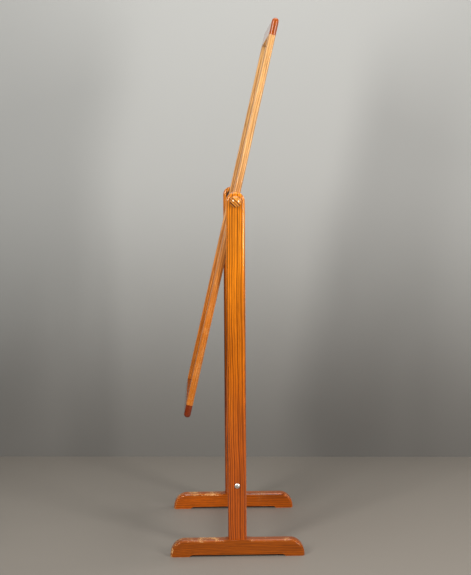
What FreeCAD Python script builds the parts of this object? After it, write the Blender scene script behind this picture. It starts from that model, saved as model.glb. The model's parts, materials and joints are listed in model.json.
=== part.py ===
import FreeCAD, Part

# Tilting floor mirror on a wooden stand, in millimetres.
#
# Two round-topped posts stand on sled feet and are tied by a low stretcher, which pulls up on
# barrel nuts.  A framed mirror hangs between the posts on two threaded studs.  A turned knob on
# each stud clamps it at any tilt.
#
# Frame: +X runs along the pivot axis to the right of someone who faces the mirror, the mirror
# faces -Y, +Z is up, and the origin is on the floor at the middle of the stand.

import os

import Sketcher
from FreeCAD import Placement, Rotation, Vector

DIMENSIONS = {
    # stand
    "stand_width": 560,            # over the outer faces of the feet
    "foot_length": 400,
    "foot_height": 50,
    "foot_thickness": 38,
    "foot_end_radius": 44,
    "foot_chamfer": 5,
    "chamfer_stop": 54,            # from the middle of the foot to where the full chamfer begins
    "chamfer_cutter": 50,          # radius of the cutter that leaves the run-out
    "toe_length": 56,
    "relief_height": 6,
    "relief_radius": 15,
    "post_width": 55,
    "post_thickness": 28,
    "post_round": 8,
    "pivot_height": 1057,
    "tenon_length": 28,
    "tenon_width": 40,
    "tenon_thickness": 14,
    "mortise_gap": 1,
    "stretcher_height": 74,
    "stretcher_thickness": 30,
    "stretcher_round": 5,
    "stretcher_level": 213,
    # stretcher fastening
    "bolt_diameter": 6,
    "bolt_clearance": 0.3,
    "bolt_head": 15,
    "bolt_head_height": 3.4,
    "bolt_dome_radius": 14,
    "bolt_tip": 8,                 # how far the bolt runs past the barrel nut's axis
    "counterbore": 18,
    "counterbore_depth": 2,
    "recess_width": 1.5,
    "recess_span": 7,
    "recess_depth": 2.2,
    "nut_diameter": 10,
    "nut_length": 18,
    "nut_setback": 35,             # from the stretcher's end to the barrel nut's axis
    "nut_bore_depth": 24.5,
    "thread_gap": 0.05,
    "dowel_diameter": 8,
    "dowel_depth": 12,             # in a post
    "dowel_rail_depth": 18,        # in the stretcher or a panel rail
    "dowel_spread": 22,            # from the middle of the stretcher
    "screw_diameter": 4.5,
    "screw_head": 9,
    "screw_length": 38,
    "screw_spread": 12,
    # mirror panel
    "panel_width": 486,
    "panel_rise": 541,             # from the pivot to the top edge
    "panel_drop": 660,             # from the pivot to the bottom edge
    "panel_thickness": 20,
    "panel_tilt": 13,
    "stile_width": 42,
    "stile_round": 6,              # also round the ends of the rails
    "frame_ease": 1.5,
    "top_rail_height": 50,
    "bottom_rail_height": 38,
    "lip_thickness": 7,
    "rebate_width": 8,
    "glass_gap": 1,
    "glass_thickness": 4,
    "board_thickness": 3,
    "frame_dowel_inset": 9.5,      # from the stile's outer edge to the first dowel
    "frame_dowel_pitch": 16,
    "frame_dowel_depth": 22,
    "brad_diameter": 1.2,
    "brad_length": 14,
    "brad_grip": 9,                # how much of a brad is in the wood
    # pivot and clamp
    "stud_diameter": 8,
    "stud_gap": 0.05,              # all round, in the insert
    "post_bore_gap": 0.08,         # all round, in the post
    "stud_grip": 16,               # in the knob
    "insert_diameter": 12,
    "insert_length": 15,
    "spacer_diameter": 32,
    "spacer_thickness": 3.8,
    "washer_diameter": 24,
    "washer_thickness": 1.5,
    "clamp_gap": 0.1,
    "knob_diameter": 34,
    "knob_neck": 24,
    "knob_neck_length": 3,
    "knob_belly": 14,              # from the knob's base to its widest ring
    "knob_corner_radius": 9,
    "knob_dome_radius": 24,
    "knob_flank_radius": 14.6,
}

BRADS_PER_STILE = 5
BRADS_PER_RAIL = 2

document = FreeCAD.newDocument("TiltingMirror")
sheet = document.addObject("Spreadsheet::Sheet", "Dims")
for row, (alias, number) in enumerate(DIMENSIONS.items(), start=1):
    sheet.set(f"A{row}", alias)
    sheet.set(f"B{row}", str(number))
    sheet.setAlias(f"B{row}", alias)
document.recompute()

nodes = []


def bind(formula):
    """Point every dimension name in a formula at its cell in the sheet."""
    words = formula.replace("(", " ( ").replace(")", " ) ").split()
    return " ".join(f"Dims.{word}" if word in DIMENSIONS else word for word in words)


def value(formula):
    """Work a formula out as a plain number."""
    return float(sheet.evalExpression(bind(formula)))


# Lengths that several pieces share.
POST_X = "( stand_width / 2 - foot_thickness / 2 )"
POST_OUTER = f"( {POST_X} + post_thickness / 2 )"
POST_INNER = f"( {POST_X} - post_thickness / 2 )"
PANEL_SIDE = "( panel_width / 2 )"
STILE_TOP = "( panel_rise - top_rail_height )"
STILE_BOTTOM = "( bottom_rail_height - panel_drop )"
REBATE_FACE = "( lip_thickness - panel_thickness / 2 )"
GLASS_HALF = "( panel_width / 2 - stile_width + rebate_width - glass_gap )"
GLASS_TOP = f"( {STILE_TOP} + rebate_width - glass_gap )"
GLASS_BOTTOM = f"( {STILE_BOTTOM} - rebate_width + glass_gap )"


def new_body(name):
    return document.addObject("PartDesign::Body", name)


def attach(body, name, plane, lift):
    """Put a sketch on one of the body's origin planes, lifted along the plane's normal."""
    sketch = body.newObject("Sketcher::SketchObject", name)
    support = [item for item in body.Origin.OriginFeatures if item.Role == plane][0]
    sketch.AttachmentSupport = [(support, "")]
    sketch.MapMode = "FlatFace"
    sketch.setExpression("AttachmentOffset.Base.z", bind(lift))
    return sketch


def hold_point(sketch, element, end, across, up):
    """Tie one end of a sketch element to two formulas."""
    for kind, formula in (("DistanceX", across), ("DistanceY", up)):
        distance = Sketcher.Constraint(kind, -1, 1, element, end, value(formula))
        index = sketch.addConstraint(distance)
        sketch.setExpression(f"Constraints[{index}]", bind(formula))


def outline(body, name, plane, corners, lift="0"):
    """Draw a closed outline.

    A corner is (across, up), reached by a straight line, or (across, up, radius, centre across,
    centre up), reached by an arc about that centre.
    """
    sketch = attach(body, name, plane, lift)
    points = [Vector(value(corner[0]), value(corner[1]), 0) for corner in corners]
    ends = []
    for index, corner in enumerate(corners):
        start = points[index - 1]
        finish = points[index]
        if len(corner) == 2:
            element = sketch.addGeometry(Part.LineSegment(start, finish), False)
            ends.append((element, 1, 2))
            continue
        centre = Vector(value(corner[3]), value(corner[4]), 0)
        spread = (start - centre) + (finish - centre)
        middle = centre + spread.normalize() * (finish - centre).Length
        element = sketch.addGeometry(Part.Arc(start, middle, finish), False)
        forward = sketch.getPoint(element, 1).distanceToPoint(start) < 0.001
        ends.append((element, 1, 2) if forward else (element, 2, 1))
        radius = Sketcher.Constraint("Radius", element, value(corner[2]))
        constraint = sketch.addConstraint(radius)
        sketch.setExpression(f"Constraints[{constraint}]", bind(corner[2]))
    for index, corner in enumerate(corners):
        element, _, last = ends[index]
        following, first, _ = ends[(index + 1) % len(corners)]
        sketch.addConstraint(Sketcher.Constraint("Coincident", element, last, following, first))
        hold_point(sketch, element, last, corner[0], corner[1])
    return sketch


def rectangle(body, name, plane, low, high, lift="0"):
    """Draw a rectangle between two opposite corners."""
    corners = [(low[0], low[1]), (high[0], low[1]), (high[0], high[1]), (low[0], high[1])]
    return outline(body, name, plane, corners, lift)


def circles(body, name, plane, centres, diameter, lift="0"):
    """Draw equal circles at the given centres."""
    sketch = attach(body, name, plane, lift)
    for across, up in centres:
        centre = Vector(value(across), value(up), 0)
        circle = Part.Circle(centre, Vector(0, 0, 1), value(diameter) / 2)
        element = sketch.addGeometry(circle, False)
        hold_point(sketch, element, 3, across, up)
        size = Sketcher.Constraint("Diameter", element, value(diameter))
        constraint = sketch.addConstraint(size)
        sketch.setExpression(f"Constraints[{constraint}]", bind(diameter))
    return sketch


def pad(body, name, sketch, length, both_ways=False):
    feature = body.newObject("PartDesign::Pad", name)
    feature.Profile = sketch
    feature.Midplane = both_ways
    feature.setExpression("Length", bind(length))
    document.recompute()
    return feature


def pocket(body, name, sketch, length, both_ways=False):
    """Cut a sketch into the body, against its plane's normal, and make sure that it cut."""
    before = body.Shape.Volume
    feature = body.newObject("PartDesign::Pocket", name)
    feature.Profile = sketch
    feature.Midplane = both_ways
    feature.setExpression("Length", bind(length))
    document.recompute()
    if not body.Shape.Volume < before:
        raise RuntimeError(f"{name} in {body.Label} cuts nothing")
    return feature


def revolve(body, name, sketch):
    """Turn a profile right round the sketch's own horizontal axis."""
    feature = body.newObject("PartDesign::Revolution", name)
    feature.Profile = sketch
    feature.ReferenceAxis = (sketch, ["H_Axis"])
    feature.Angle = 360
    document.recompute()
    return feature


def round_edges(body, name, base, radius, wanted, kind="Fillet"):
    """Round or chamfer the edges of the last feature that pass the test."""
    edges = [f"Edge{index}" for index, edge in enumerate(base.Shape.Edges, 1) if wanted(edge)]
    if not edges:
        raise RuntimeError(f"{name} in {body.Label} finds no edge")
    feature = body.newObject(f"PartDesign::{kind}", name)
    feature.Base = (base, edges)
    feature.setExpression("Radius" if kind == "Fillet" else "Size", bind(radius))
    document.recompute()
    return feature


def near(number, target):
    return abs(number - target) < 0.001


def middle_of(edge):
    """The point halfway along an edge."""
    return edge.valueAt((edge.FirstParameter + edge.LastParameter) / 2)


def lies_at_x(edge, distance):
    """True for an edge that lies whole in one of the planes X = +distance or X = -distance."""
    box = edge.BoundBox
    return near(box.XLength, 0) and near(abs(box.XMin), distance)


def primitive(kind, name, **sizes):
    """Make a Part primitive with its sizes bound to the sheet."""
    item = document.addObject(f"Part::{kind}", name)
    for size, formula in sizes.items():
        item.setExpression(size, bind(formula))
    return item


def fuse(name, shapes):
    joined = document.addObject("Part::MultiFuse", name)
    joined.Shapes = shapes
    return joined


def cut(name, base, tool):
    remainder = document.addObject("Part::Cut", name)
    remainder.Base = base
    remainder.Tool = tool
    return remainder


def group(name, items):
    bundle = document.addObject("Part::Compound", name)
    bundle.Links = items
    return bundle


def finish(item, node, placement=None):
    """Give a sub-part its node name and its place, and list it for export."""
    item.Label = node
    if placement is not None:
        item.Placement = placement
    nodes.append(item)


def on_side(side, height="0", across=POST_X):
    """Place a stand piece on the right (+1) or, turned half round, on the left (-1)."""
    turn = Rotation(Vector(0, 0, 1), 0 if side > 0 else 180)
    return Placement(Vector(side * value(across), 0, value(height)), turn)


def in_panel(shift=Vector(0, 0, 0), half_turn=False):
    """Place a piece that is drawn in the upright panel's frame, whose origin is the pivot."""
    tilt = Placement(Vector(0, 0, value("pivot_height")),
                     Rotation(Vector(1, 0, 0), -value("panel_tilt")))
    own = Placement(shift, Rotation(Vector(0, 0, 1), 180 if half_turn else 0))
    return tilt.multiply(own)


SIDES = (("right", 1), ("left", -1))


# ---- Feet -----------------------------------------------------------------------------------

def foot_blank(side_name):
    """The sled foot's side outline with its top edges chamfered from end to end."""
    body = new_body(f"foot_blank_{side_name}")
    end = "foot_length / 2"
    shoulder = "( foot_length / 2 - foot_end_radius )"
    brow = "( foot_height - foot_end_radius )"
    toe = "( foot_length / 2 - toe_length )"
    cove = f"( {toe} - ( relief_height * ( 2 * relief_radius - relief_height ) ) ^ 0.5 )"
    under = "( relief_height - relief_radius )"
    corners = [
        (f"{end}", "0"),
        (f"{end}", brow),
        (shoulder, "foot_height", "foot_end_radius", shoulder, brow),
        (f"-1 * {shoulder}", "foot_height"),
        (f"-1 * {end}", brow, "foot_end_radius", f"-1 * {shoulder}", brow),
        (f"-1 * {end}", "0"),
        (f"-1 * {toe}", "0"),
        (f"-1 * {cove}", "relief_height", "relief_radius", f"-1 * {cove}", under),
        (cove, "relief_height"),
        (toe, "0", "relief_radius", cove, under),
    ]
    sketch = outline(body, f"foot_outline_{side_name}", "YZ_Plane", corners)
    blank = pad(body, f"foot_pad_{side_name}", sketch, "foot_thickness", both_ways=True)
    half = value("foot_thickness") / 2
    clear = value(brow)

    def top_edge(edge):
        return lies_at_x(edge, half) and middle_of(edge).z > clear + 1

    round_edges(body, f"foot_chamfer_{side_name}", blank, "foot_chamfer", top_edge, "Chamfer")
    return body


def foot_crown(side_name):
    """The square-edged stretch under the post, with the cutter's curved run-outs at its ends."""
    block = primitive("Box", f"crown_block_{side_name}", Length="foot_thickness",
                      Width="2 * chamfer_stop", Height="foot_chamfer")
    base = value("foot_height - foot_chamfer")
    stop = value("chamfer_stop")
    block.Placement.Base = Vector(-value("foot_thickness") / 2, -stop, base)
    cutters = []
    for face in (-1, 1):
        for end in (-1, 1):
            cone = primitive("Cone", f"run_out_{side_name}", Radius1="chamfer_cutter",
                             Radius2="chamfer_cutter + foot_chamfer", Height="foot_chamfer")
            reach = value("foot_thickness / 2 + chamfer_cutter")
            cone.Placement.Base = Vector(face * reach, end * stop, base)
            cutters.append(cone)
    return cut(f"crown_{side_name}", block, fuse(f"run_outs_{side_name}", cutters))


def foot_hollows(side_name):
    """The mortise and the two countersunk screw holes under it."""
    mortise = primitive("Box", f"mortise_{side_name}", Length="tenon_thickness",
                        Width="tenon_width", Height="tenon_length + mortise_gap")
    floor = value("foot_height - tenon_length - mortise_gap")
    mortise.Placement.Base = Vector(-value("tenon_thickness") / 2, -value("tenon_width") / 2, floor)
    tools = [mortise]
    for end in (-1, 1):
        shank = primitive("Cylinder", f"screw_hole_{side_name}", Radius="screw_diameter / 2",
                          Height="foot_height - tenon_length - relief_height")
        sink = primitive("Cone", f"countersink_{side_name}", Radius1="screw_head / 2",
                         Radius2="screw_diameter / 2", Height="( screw_head - screw_diameter ) / 2")
        seat = Vector(0, end * value("screw_spread"), value("relief_height"))
        shank.Placement.Base = seat
        sink.Placement.Base = seat
        tools += [shank, sink]
    return fuse(f"foot_hollows_{side_name}", tools)


def make_foot(side_name, side):
    solid = fuse(f"foot_solid_{side_name}", [foot_blank(side_name), foot_crown(side_name)])
    foot = cut(f"foot_{side_name}", solid, foot_hollows(side_name))
    finish(foot, f"foot_{side_name}", on_side(side))


# ---- Posts ----------------------------------------------------------------------------------

def make_post(side_name, side):
    """A post with a round top, rounded long edges and a stub tenon.  Its +X face is outside."""
    body = new_body(f"post_{side_name}")
    half = "( post_width / 2 )"
    corners = [
        (f"-1 * {half}", "foot_height"),
        (half, "foot_height"),
        (half, "pivot_height"),
        ("0", f"pivot_height + {half}", half, "0", "pivot_height"),
        (f"-1 * {half}", "pivot_height", half, "0", "pivot_height"),
    ]
    sketch = outline(body, f"post_outline_{side_name}", "YZ_Plane", corners)
    blank = pad(body, f"post_pad_{side_name}", sketch, "post_thickness", both_ways=True)
    face = value("post_thickness") / 2
    foot_top = value("foot_height")

    def long_edge(edge):
        return lies_at_x(edge, face) and middle_of(edge).z > foot_top + 1

    round_edges(body, f"post_round_{side_name}", blank, "post_round", long_edge)
    tenon = rectangle(body, f"tenon_outline_{side_name}", "YZ_Plane",
                      ("-1 * tenon_width / 2", "foot_height - tenon_length"),
                      ("tenon_width / 2", "foot_height"))
    pad(body, f"tenon_{side_name}", tenon, "tenon_thickness", both_ways=True)
    bore = circles(body, f"pivot_circle_{side_name}", "YZ_Plane", [("0", "pivot_height")],
                   "stud_diameter + 2 * post_bore_gap")
    pocket(body, f"pivot_bore_{side_name}", bore, "post_thickness", both_ways=True)
    shank = circles(body, f"bolt_circle_{side_name}", "YZ_Plane", [("0", "stretcher_level")],
                    "bolt_diameter + 2 * bolt_clearance")
    pocket(body, f"bolt_bore_{side_name}", shank, "post_thickness", both_ways=True)
    seat = circles(body, f"counterbore_circle_{side_name}", "YZ_Plane",
                   [("0", "stretcher_level")], "counterbore", lift="post_thickness / 2")
    pocket(body, f"counterbore_{side_name}", seat, "counterbore_depth")
    spots = [("0", "stretcher_level + dowel_spread"), ("0", "stretcher_level - dowel_spread")]
    dowels = circles(body, f"dowel_circles_{side_name}", "YZ_Plane", spots, "dowel_diameter",
                     lift="dowel_depth - post_thickness / 2")
    pocket(body, f"dowel_holes_{side_name}", dowels, "dowel_depth")
    grip = "( screw_length - foot_height + tenon_length + relief_height )"
    pilots = circles(body, f"pilot_circles_{side_name}", "XY_Plane",
                     [("0", "screw_spread"), ("0", "-1 * screw_spread")], "screw_diameter",
                     lift=f"foot_height - tenon_length + {grip}")
    pocket(body, f"screw_pilots_{side_name}", pilots, grip)
    finish(body, f"post_{side_name}", on_side(side))


def make_foot_screws(side_name, side):
    """Two countersunk screws that hold the tenon from below, as one node."""
    body = new_body(f"foot_screw_{side_name}")
    sink = "( ( screw_head - screw_diameter ) / 2 )"
    corners = [
        ("0", "0"),
        ("0", "screw_head / 2"),
        (sink, "screw_diameter / 2"),
        ("screw_length - screw_diameter", "screw_diameter / 2"),
        ("screw_length", "0"),
    ]
    profile = outline(body, f"screw_profile_{side_name}", "XY_Plane", corners)
    revolve(body, f"screw_turning_{side_name}", profile)
    upright = Rotation(Vector(0, 1, 0), -90)
    seat = Vector(0, value("screw_spread"), value("relief_height"))
    body.Placement = Placement(seat, upright)
    twin = document.addObject("Part::Mirroring", f"foot_screw_twin_{side_name}")
    twin.Source = body
    twin.Normal = Vector(0, 1, 0)
    finish(group(f"foot_screws_{side_name}", [body, twin]), f"foot_screws_{side_name}",
           on_side(side))


# ---- Stretcher and its fastening ------------------------------------------------------------

def make_stretcher():
    body = new_body("stretcher")
    half_length = POST_INNER
    sketch = rectangle(body, "stretcher_section", "YZ_Plane",
                       ("-1 * stretcher_thickness / 2", "-1 * stretcher_height / 2"),
                       ("stretcher_thickness / 2", "stretcher_height / 2"))
    bar = pad(body, "stretcher_pad", sketch, f"2 * {half_length}", both_ways=True)
    length = value(f"2 * {half_length}")

    def long_edge(edge):
        return near(edge.BoundBox.XLength, length)

    round_edges(body, "stretcher_round_edges", bar, "stretcher_round", long_edge)
    bolt_depth = "( nut_setback + bolt_tip + 2 )"
    spots = [("0", "dowel_spread"), ("0", "-1 * dowel_spread")]
    for side_name, side in SIDES:
        # Every end hole is cut towards -X, so on the left it starts at its own blind end.
        bolt_start = half_length if side > 0 else f"{bolt_depth} - {half_length}"
        bolt = circles(body, f"stretcher_bolt_circle_{side_name}", "YZ_Plane", [("0", "0")],
                       "bolt_diameter + 2 * bolt_clearance", lift=bolt_start)
        pocket(body, f"stretcher_bolt_bore_{side_name}", bolt, bolt_depth)
        dowel_start = half_length if side > 0 else f"dowel_rail_depth - {half_length}"
        dowels = circles(body, f"stretcher_dowel_circles_{side_name}", "YZ_Plane", spots,
                         "dowel_diameter", lift=dowel_start)
        pocket(body, f"stretcher_dowel_holes_{side_name}", dowels, "dowel_rail_depth")
        nut_spot = [(f"{side} * ( {half_length} - nut_setback )", "0")]
        nut = circles(body, f"nut_circle_{side_name}", "XZ_Plane", nut_spot, "nut_diameter",
                      lift="nut_bore_depth - stretcher_thickness / 2")
        pocket(body, f"nut_bore_{side_name}", nut, "nut_bore_depth")
    finish(body, "stretcher", Placement(Vector(0, 0, value("stretcher_level")), Rotation()))


def make_stretcher_bolt(side_name, side):
    """A furniture bolt with a low domed head and a cross recess.  +X points out of its head."""
    body = new_body(f"stretcher_bolt_{side_name}")
    reach = "( post_thickness - counterbore_depth + nut_setback + bolt_tip )"
    radius = "( bolt_head / 2 )"
    rise = f"( bolt_dome_radius - ( bolt_dome_radius ^ 2 - {radius} ^ 2 ) ^ 0.5 )"
    corners = [
        (f"-1 * {reach}", "0"),
        (f"-1 * {reach}", "bolt_diameter / 2"),
        ("0", "bolt_diameter / 2"),
        ("0", radius),
        (f"bolt_head_height - {rise}", radius),
        ("bolt_head_height", "0", "bolt_dome_radius", "bolt_head_height - bolt_dome_radius", "0"),
    ]
    profile = outline(body, f"bolt_profile_{side_name}", "XY_Plane", corners)
    revolve(body, f"bolt_turning_{side_name}", profile)
    for name, across, up in (("level", "recess_span", "recess_width"),
                             ("upright", "recess_width", "recess_span")):
        slot = rectangle(body, f"recess_{name}_{side_name}", "YZ_Plane",
                         (f"-1 * {across} / 2", f"-1 * {up} / 2"), (f"{across} / 2", f"{up} / 2"),
                         lift="bolt_head_height")
        pocket(body, f"recess_slot_{name}_{side_name}", slot, "recess_depth")
    finish(body, f"stretcher_bolt_{side_name}",
           on_side(side, "stretcher_level", f"( {POST_OUTER} - counterbore_depth )"))


def make_barrel_nut(side_name, side):
    """A cylinder across the stretcher with the bolt's thread through its middle."""
    body = new_body(f"barrel_nut_{side_name}")
    ring = circles(body, f"barrel_circle_{side_name}", "XZ_Plane", [("0", "0")],
                   "nut_diameter", lift="nut_length / -2")
    pad(body, f"barrel_{side_name}", ring, "nut_length")
    thread = circles(body, f"barrel_thread_circle_{side_name}", "YZ_Plane", [("0", "0")],
                     "bolt_diameter + 2 * thread_gap")
    pocket(body, f"barrel_thread_{side_name}", thread, "nut_diameter + 1", both_ways=True)
    centre = f"( {POST_INNER} - nut_setback )"
    finish(body, f"barrel_nut_{side_name}", on_side(side, "stretcher_level", centre))


def make_stretcher_dowels(side_name, side):
    """Two glued dowels that stop the stretcher from turning on its bolt."""
    body = new_body(f"stretcher_dowel_{side_name}")
    tips = circles(body, f"stretcher_dowel_circle_{side_name}", "YZ_Plane",
                   [("0", "dowel_spread")], "dowel_diameter",
                   lift="-1 * dowel_rail_depth + 1")
    pad(body, f"stretcher_dowel_pad_{side_name}", tips, "dowel_rail_depth + dowel_depth - 2")
    twin = document.addObject("Part::Mirroring", f"stretcher_dowel_twin_{side_name}")
    twin.Source = body
    twin.Normal = Vector(0, 0, 1)
    finish(group(f"stretcher_dowels_{side_name}", [body, twin]), f"stretcher_dowels_{side_name}",
           on_side(side, "stretcher_level", POST_INNER))


# ---- Mirror panel ---------------------------------------------------------------------------

def make_stile(side_name, side):
    """A side member of the frame, rebated at the back of its inner edge."""
    body = new_body(f"stile_{side_name}")
    outer = f"{side} * {PANEL_SIDE}"
    inner = f"{side} * ( {PANEL_SIDE} - stile_width )"
    step = f"{side} * ( {PANEL_SIDE} - stile_width + rebate_width )"
    front = "-1 * panel_thickness / 2"
    back = "panel_thickness / 2"
    corners = [(inner, front), (outer, front), (outer, back), (step, back),
               (step, REBATE_FACE), (inner, REBATE_FACE)]
    section = outline(body, f"stile_section_{side_name}", "XY_Plane", corners, lift=STILE_BOTTOM)
    blank = pad(body, f"stile_pad_{side_name}", section, f"{STILE_TOP} - {STILE_BOTTOM}")
    length = value(f"{STILE_TOP} - {STILE_BOTTOM}")
    edge_x = value(outer)
    lip_x = value(inner)
    front_y = value(front)

    def outer_edge(edge):
        return near(edge.BoundBox.ZLength, length) and near(middle_of(edge).x, edge_x)

    def lip_edge(edge):
        middle = middle_of(edge)
        along = near(edge.BoundBox.ZLength, length)
        return along and near(middle.x, lip_x) and near(middle.y, front_y)

    rounded = round_edges(body, f"stile_round_{side_name}", blank, "stile_round", outer_edge)
    round_edges(body, f"stile_ease_{side_name}", rounded, "frame_ease", lip_edge)
    hole_start = PANEL_SIDE if side > 0 else f"insert_length - {PANEL_SIDE}"
    ring = circles(body, f"insert_circle_{side_name}", "YZ_Plane", [("0", "0")],
                   "insert_diameter", lift=hole_start)
    pocket(body, f"insert_hole_{side_name}", ring, "insert_length")
    spots = frame_dowel_spots(side)
    for end_name, start in (("top", STILE_TOP), ("bottom", f"{STILE_BOTTOM} + frame_dowel_depth")):
        dowels = circles(body, f"stile_dowels_{end_name}_{side_name}", "XY_Plane", spots,
                         "dowel_diameter", lift=start)
        pocket(body, f"stile_dowel_holes_{end_name}_{side_name}", dowels, "frame_dowel_depth")
    finish(body, f"stile_{side_name}", in_panel())


def frame_dowel_spots(side):
    """Where the two corner dowels of one side stand, in the panel's plan."""
    first = f"{side} * ( {PANEL_SIDE} - frame_dowel_inset )"
    second = f"{side} * ( {PANEL_SIDE} - frame_dowel_inset - frame_dowel_pitch )"
    return [(first, "0"), (second, "0")]


def make_rail(name, joint, edge, outward):
    """A full-width end rail whose free edge is a half round.

    joint and edge are the heights where it meets the stiles and where it ends, and outward is
    +1 for the top rail and -1 for the bottom one.
    """
    body = new_body(name)
    radius = "( panel_thickness / 2 )"
    centre = f"( {edge} - {outward} * {radius} )"
    corners = [
        (radius, centre),
        ("0", edge, radius, "0", centre),
        (f"-1 * {radius}", centre, radius, "0", centre),
        (f"-1 * {radius}", joint),
        (radius, joint),
    ]
    section = outline(body, f"{name}_section", "YZ_Plane", corners)
    bar = pad(body, f"{name}_pad", section, "panel_width", both_ways=True)
    end_x = value(PANEL_SIDE)
    joint_z = value(joint)

    def end_edge(edge_shape):
        return lies_at_x(edge_shape, end_x) and not near(middle_of(edge_shape).z, joint_z)

    round_edges(body, f"{name}_end_round", bar, "stile_round", end_edge)
    rebate_end = f"( {GLASS_HALF} + glass_gap )"
    rebate_top = joint if outward < 0 else f"( {joint} + rebate_width )"
    rebate = rectangle(body, f"{name}_rebate_plan", "XY_Plane",
                       (f"-1 * {rebate_end}", REBATE_FACE),
                       (rebate_end, "panel_thickness / 2"), lift=rebate_top)
    pocket(body, f"{name}_rebate", rebate, "rebate_width")
    hole_top = joint if outward < 0 else f"( {joint} + dowel_rail_depth )"
    for side_name, side in SIDES:
        holes = circles(body, f"{name}_dowel_circles_{side_name}", "XY_Plane",
                        frame_dowel_spots(side), "dowel_diameter", lift=hole_top)
        pocket(body, f"{name}_dowel_holes_{side_name}", holes, "dowel_rail_depth")
    finish(body, name, in_panel())


def make_sheet(name, front, thickness):
    """A flat sheet that fills the rebate: the mirror glass or the back board."""
    body = new_body(name)
    face = rectangle(body, f"{name}_face", "XZ_Plane", (f"-1 * {GLASS_HALF}", GLASS_BOTTOM),
                     (GLASS_HALF, GLASS_TOP), lift=f"-1 * ( {front} + {thickness} )")
    pad(body, f"{name}_pad", face, thickness)
    finish(body, name, in_panel())


def make_frame_dowels(name, joint, outward):
    """The four dowels between one rail and the two stiles, as one node."""
    body = new_body(f"{name}_pair")
    rail_part = "( dowel_rail_depth - 1 )"
    stile_part = "( frame_dowel_depth - 1 )"
    low = stile_part if outward > 0 else rail_part
    circle = circles(body, f"{name}_circles", "XY_Plane", frame_dowel_spots(1)[:1],
                     "dowel_diameter", lift=f"{joint} - {low}")
    pad(body, f"{name}_pad", circle, f"{rail_part} + {stile_part}")
    second = new_body(f"{name}_second")
    circle = circles(second, f"{name}_second_circle", "XY_Plane", frame_dowel_spots(1)[1:],
                     "dowel_diameter", lift=f"{joint} - {low}")
    pad(second, f"{name}_second_pad", circle, f"{rail_part} + {stile_part}")
    items = [body, second]
    for index, source in enumerate((body, second)):
        twin = document.addObject("Part::Mirroring", f"{name}_twin_{index}")
        twin.Source = source
        twin.Normal = Vector(1, 0, 0)
        items.append(twin)
    finish(group(name, items), name, in_panel())


def make_brads():
    """Thin headless nails that lie on the back board and are driven into the rebate's wall."""
    board_back = value(f"{REBATE_FACE} + glass_thickness + board_thickness")
    radius = value("brad_diameter") / 2
    level = board_back + radius
    wall_x = value(f"{GLASS_HALF} + glass_gap")
    top = value(f"{GLASS_TOP} + glass_gap")
    bottom = value(f"{GLASS_BOTTOM} - glass_gap")
    out = value("brad_length - brad_grip")
    length = value("brad_length")
    shapes = []
    for step in range(BRADS_PER_STILE):
        height = bottom + (top - bottom) * (step + 0.5) / BRADS_PER_STILE
        for side in (-1, 1):
            start = Vector(side * (wall_x - out), level, height)
            shapes.append(Part.makeCylinder(radius, length, start, Vector(side, 0, 0)))
    for step in range(BRADS_PER_RAIL):
        across = wall_x * (2 * (step + 0.5) / BRADS_PER_RAIL - 1)
        for end, wall in ((1, top), (-1, bottom)):
            start = Vector(across, level, wall - end * out)
            shapes.append(Part.makeCylinder(radius, length, start, Vector(0, 0, end)))
    brads = document.addObject("Part::Feature", "glazing_brads")
    brads.Shape = Part.makeCompound(shapes)
    finish(brads, "glazing_brads", in_panel())


# ---- Pivot and clamp ------------------------------------------------------------------------

def make_ring(node, outer, bore, thickness):
    """A flat ring about X, its inner face at X = 0."""
    body = new_body(node)
    rim = circles(body, f"{node}_rim", "YZ_Plane", [("0", "0")], outer)
    pad(body, f"{node}_pad", rim, thickness)
    hole = circles(body, f"{node}_hole", "YZ_Plane", [("0", "0")], bore)
    pocket(body, f"{node}_bore", hole, f"3 * ( {thickness} )", both_ways=True)
    return body


def place_on_pivot(item, node, side, start):
    """Put a piece that is turned about X on the pivot axis, with X = 0 at the given distance."""
    finish(item, node, in_panel(Vector(side * value(start), 0, 0), half_turn=side < 0))


def make_knob(side_name, side):
    """A turned knob: a neck, a swelling flank, a tight shoulder and a low dome."""
    body = new_body(f"knob_{side_name}")
    radius = "( knob_diameter / 2 )"
    belly = "knob_belly"
    shoulder = f"( {radius} - knob_corner_radius )"
    step = "( knob_dome_radius - knob_corner_radius )"
    dome_centre = f"( {belly} - ( {step} ^ 2 - {shoulder} ^ 2 ) ^ 0.5 )"
    meet_x = f"( {dome_centre} + ( {belly} - {dome_centre} ) * knob_dome_radius / {step} )"
    meet_r = f"( {shoulder} * knob_dome_radius / {step} )"
    corners = [
        ("0", "0"),
        ("0", "knob_neck / 2"),
        ("knob_neck_length", "knob_neck / 2"),
        (belly, radius, "knob_flank_radius", belly, f"{radius} - knob_flank_radius"),
        (meet_x, meet_r, "knob_corner_radius", belly, shoulder),
        (f"{dome_centre} + knob_dome_radius", "0", "knob_dome_radius", dome_centre, "0"),
    ]
    profile = outline(body, f"knob_profile_{side_name}", "XY_Plane", corners)
    revolve(body, f"knob_turning_{side_name}", profile)
    hole = circles(body, f"knob_hole_circle_{side_name}", "YZ_Plane", [("0", "0")],
                   "stud_diameter", lift="stud_grip")
    pocket(body, f"knob_hole_{side_name}", hole, "stud_grip")
    place_on_pivot(body, f"knob_{side_name}", side, KNOB_BASE)


def make_stud(side_name, side):
    """The threaded stud, glued in the knob, that runs through the post into the insert."""
    body = new_body(f"knob_stud_{side_name}")
    start = f"( {PANEL_SIDE} - insert_length + 1 )"
    ring = circles(body, f"stud_circle_{side_name}", "YZ_Plane", [("0", "0")], "stud_diameter")
    pad(body, f"stud_pad_{side_name}", ring, f"{KNOB_BASE} + stud_grip - {start}")
    place_on_pivot(body, f"knob_stud_{side_name}", side, start)


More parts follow.
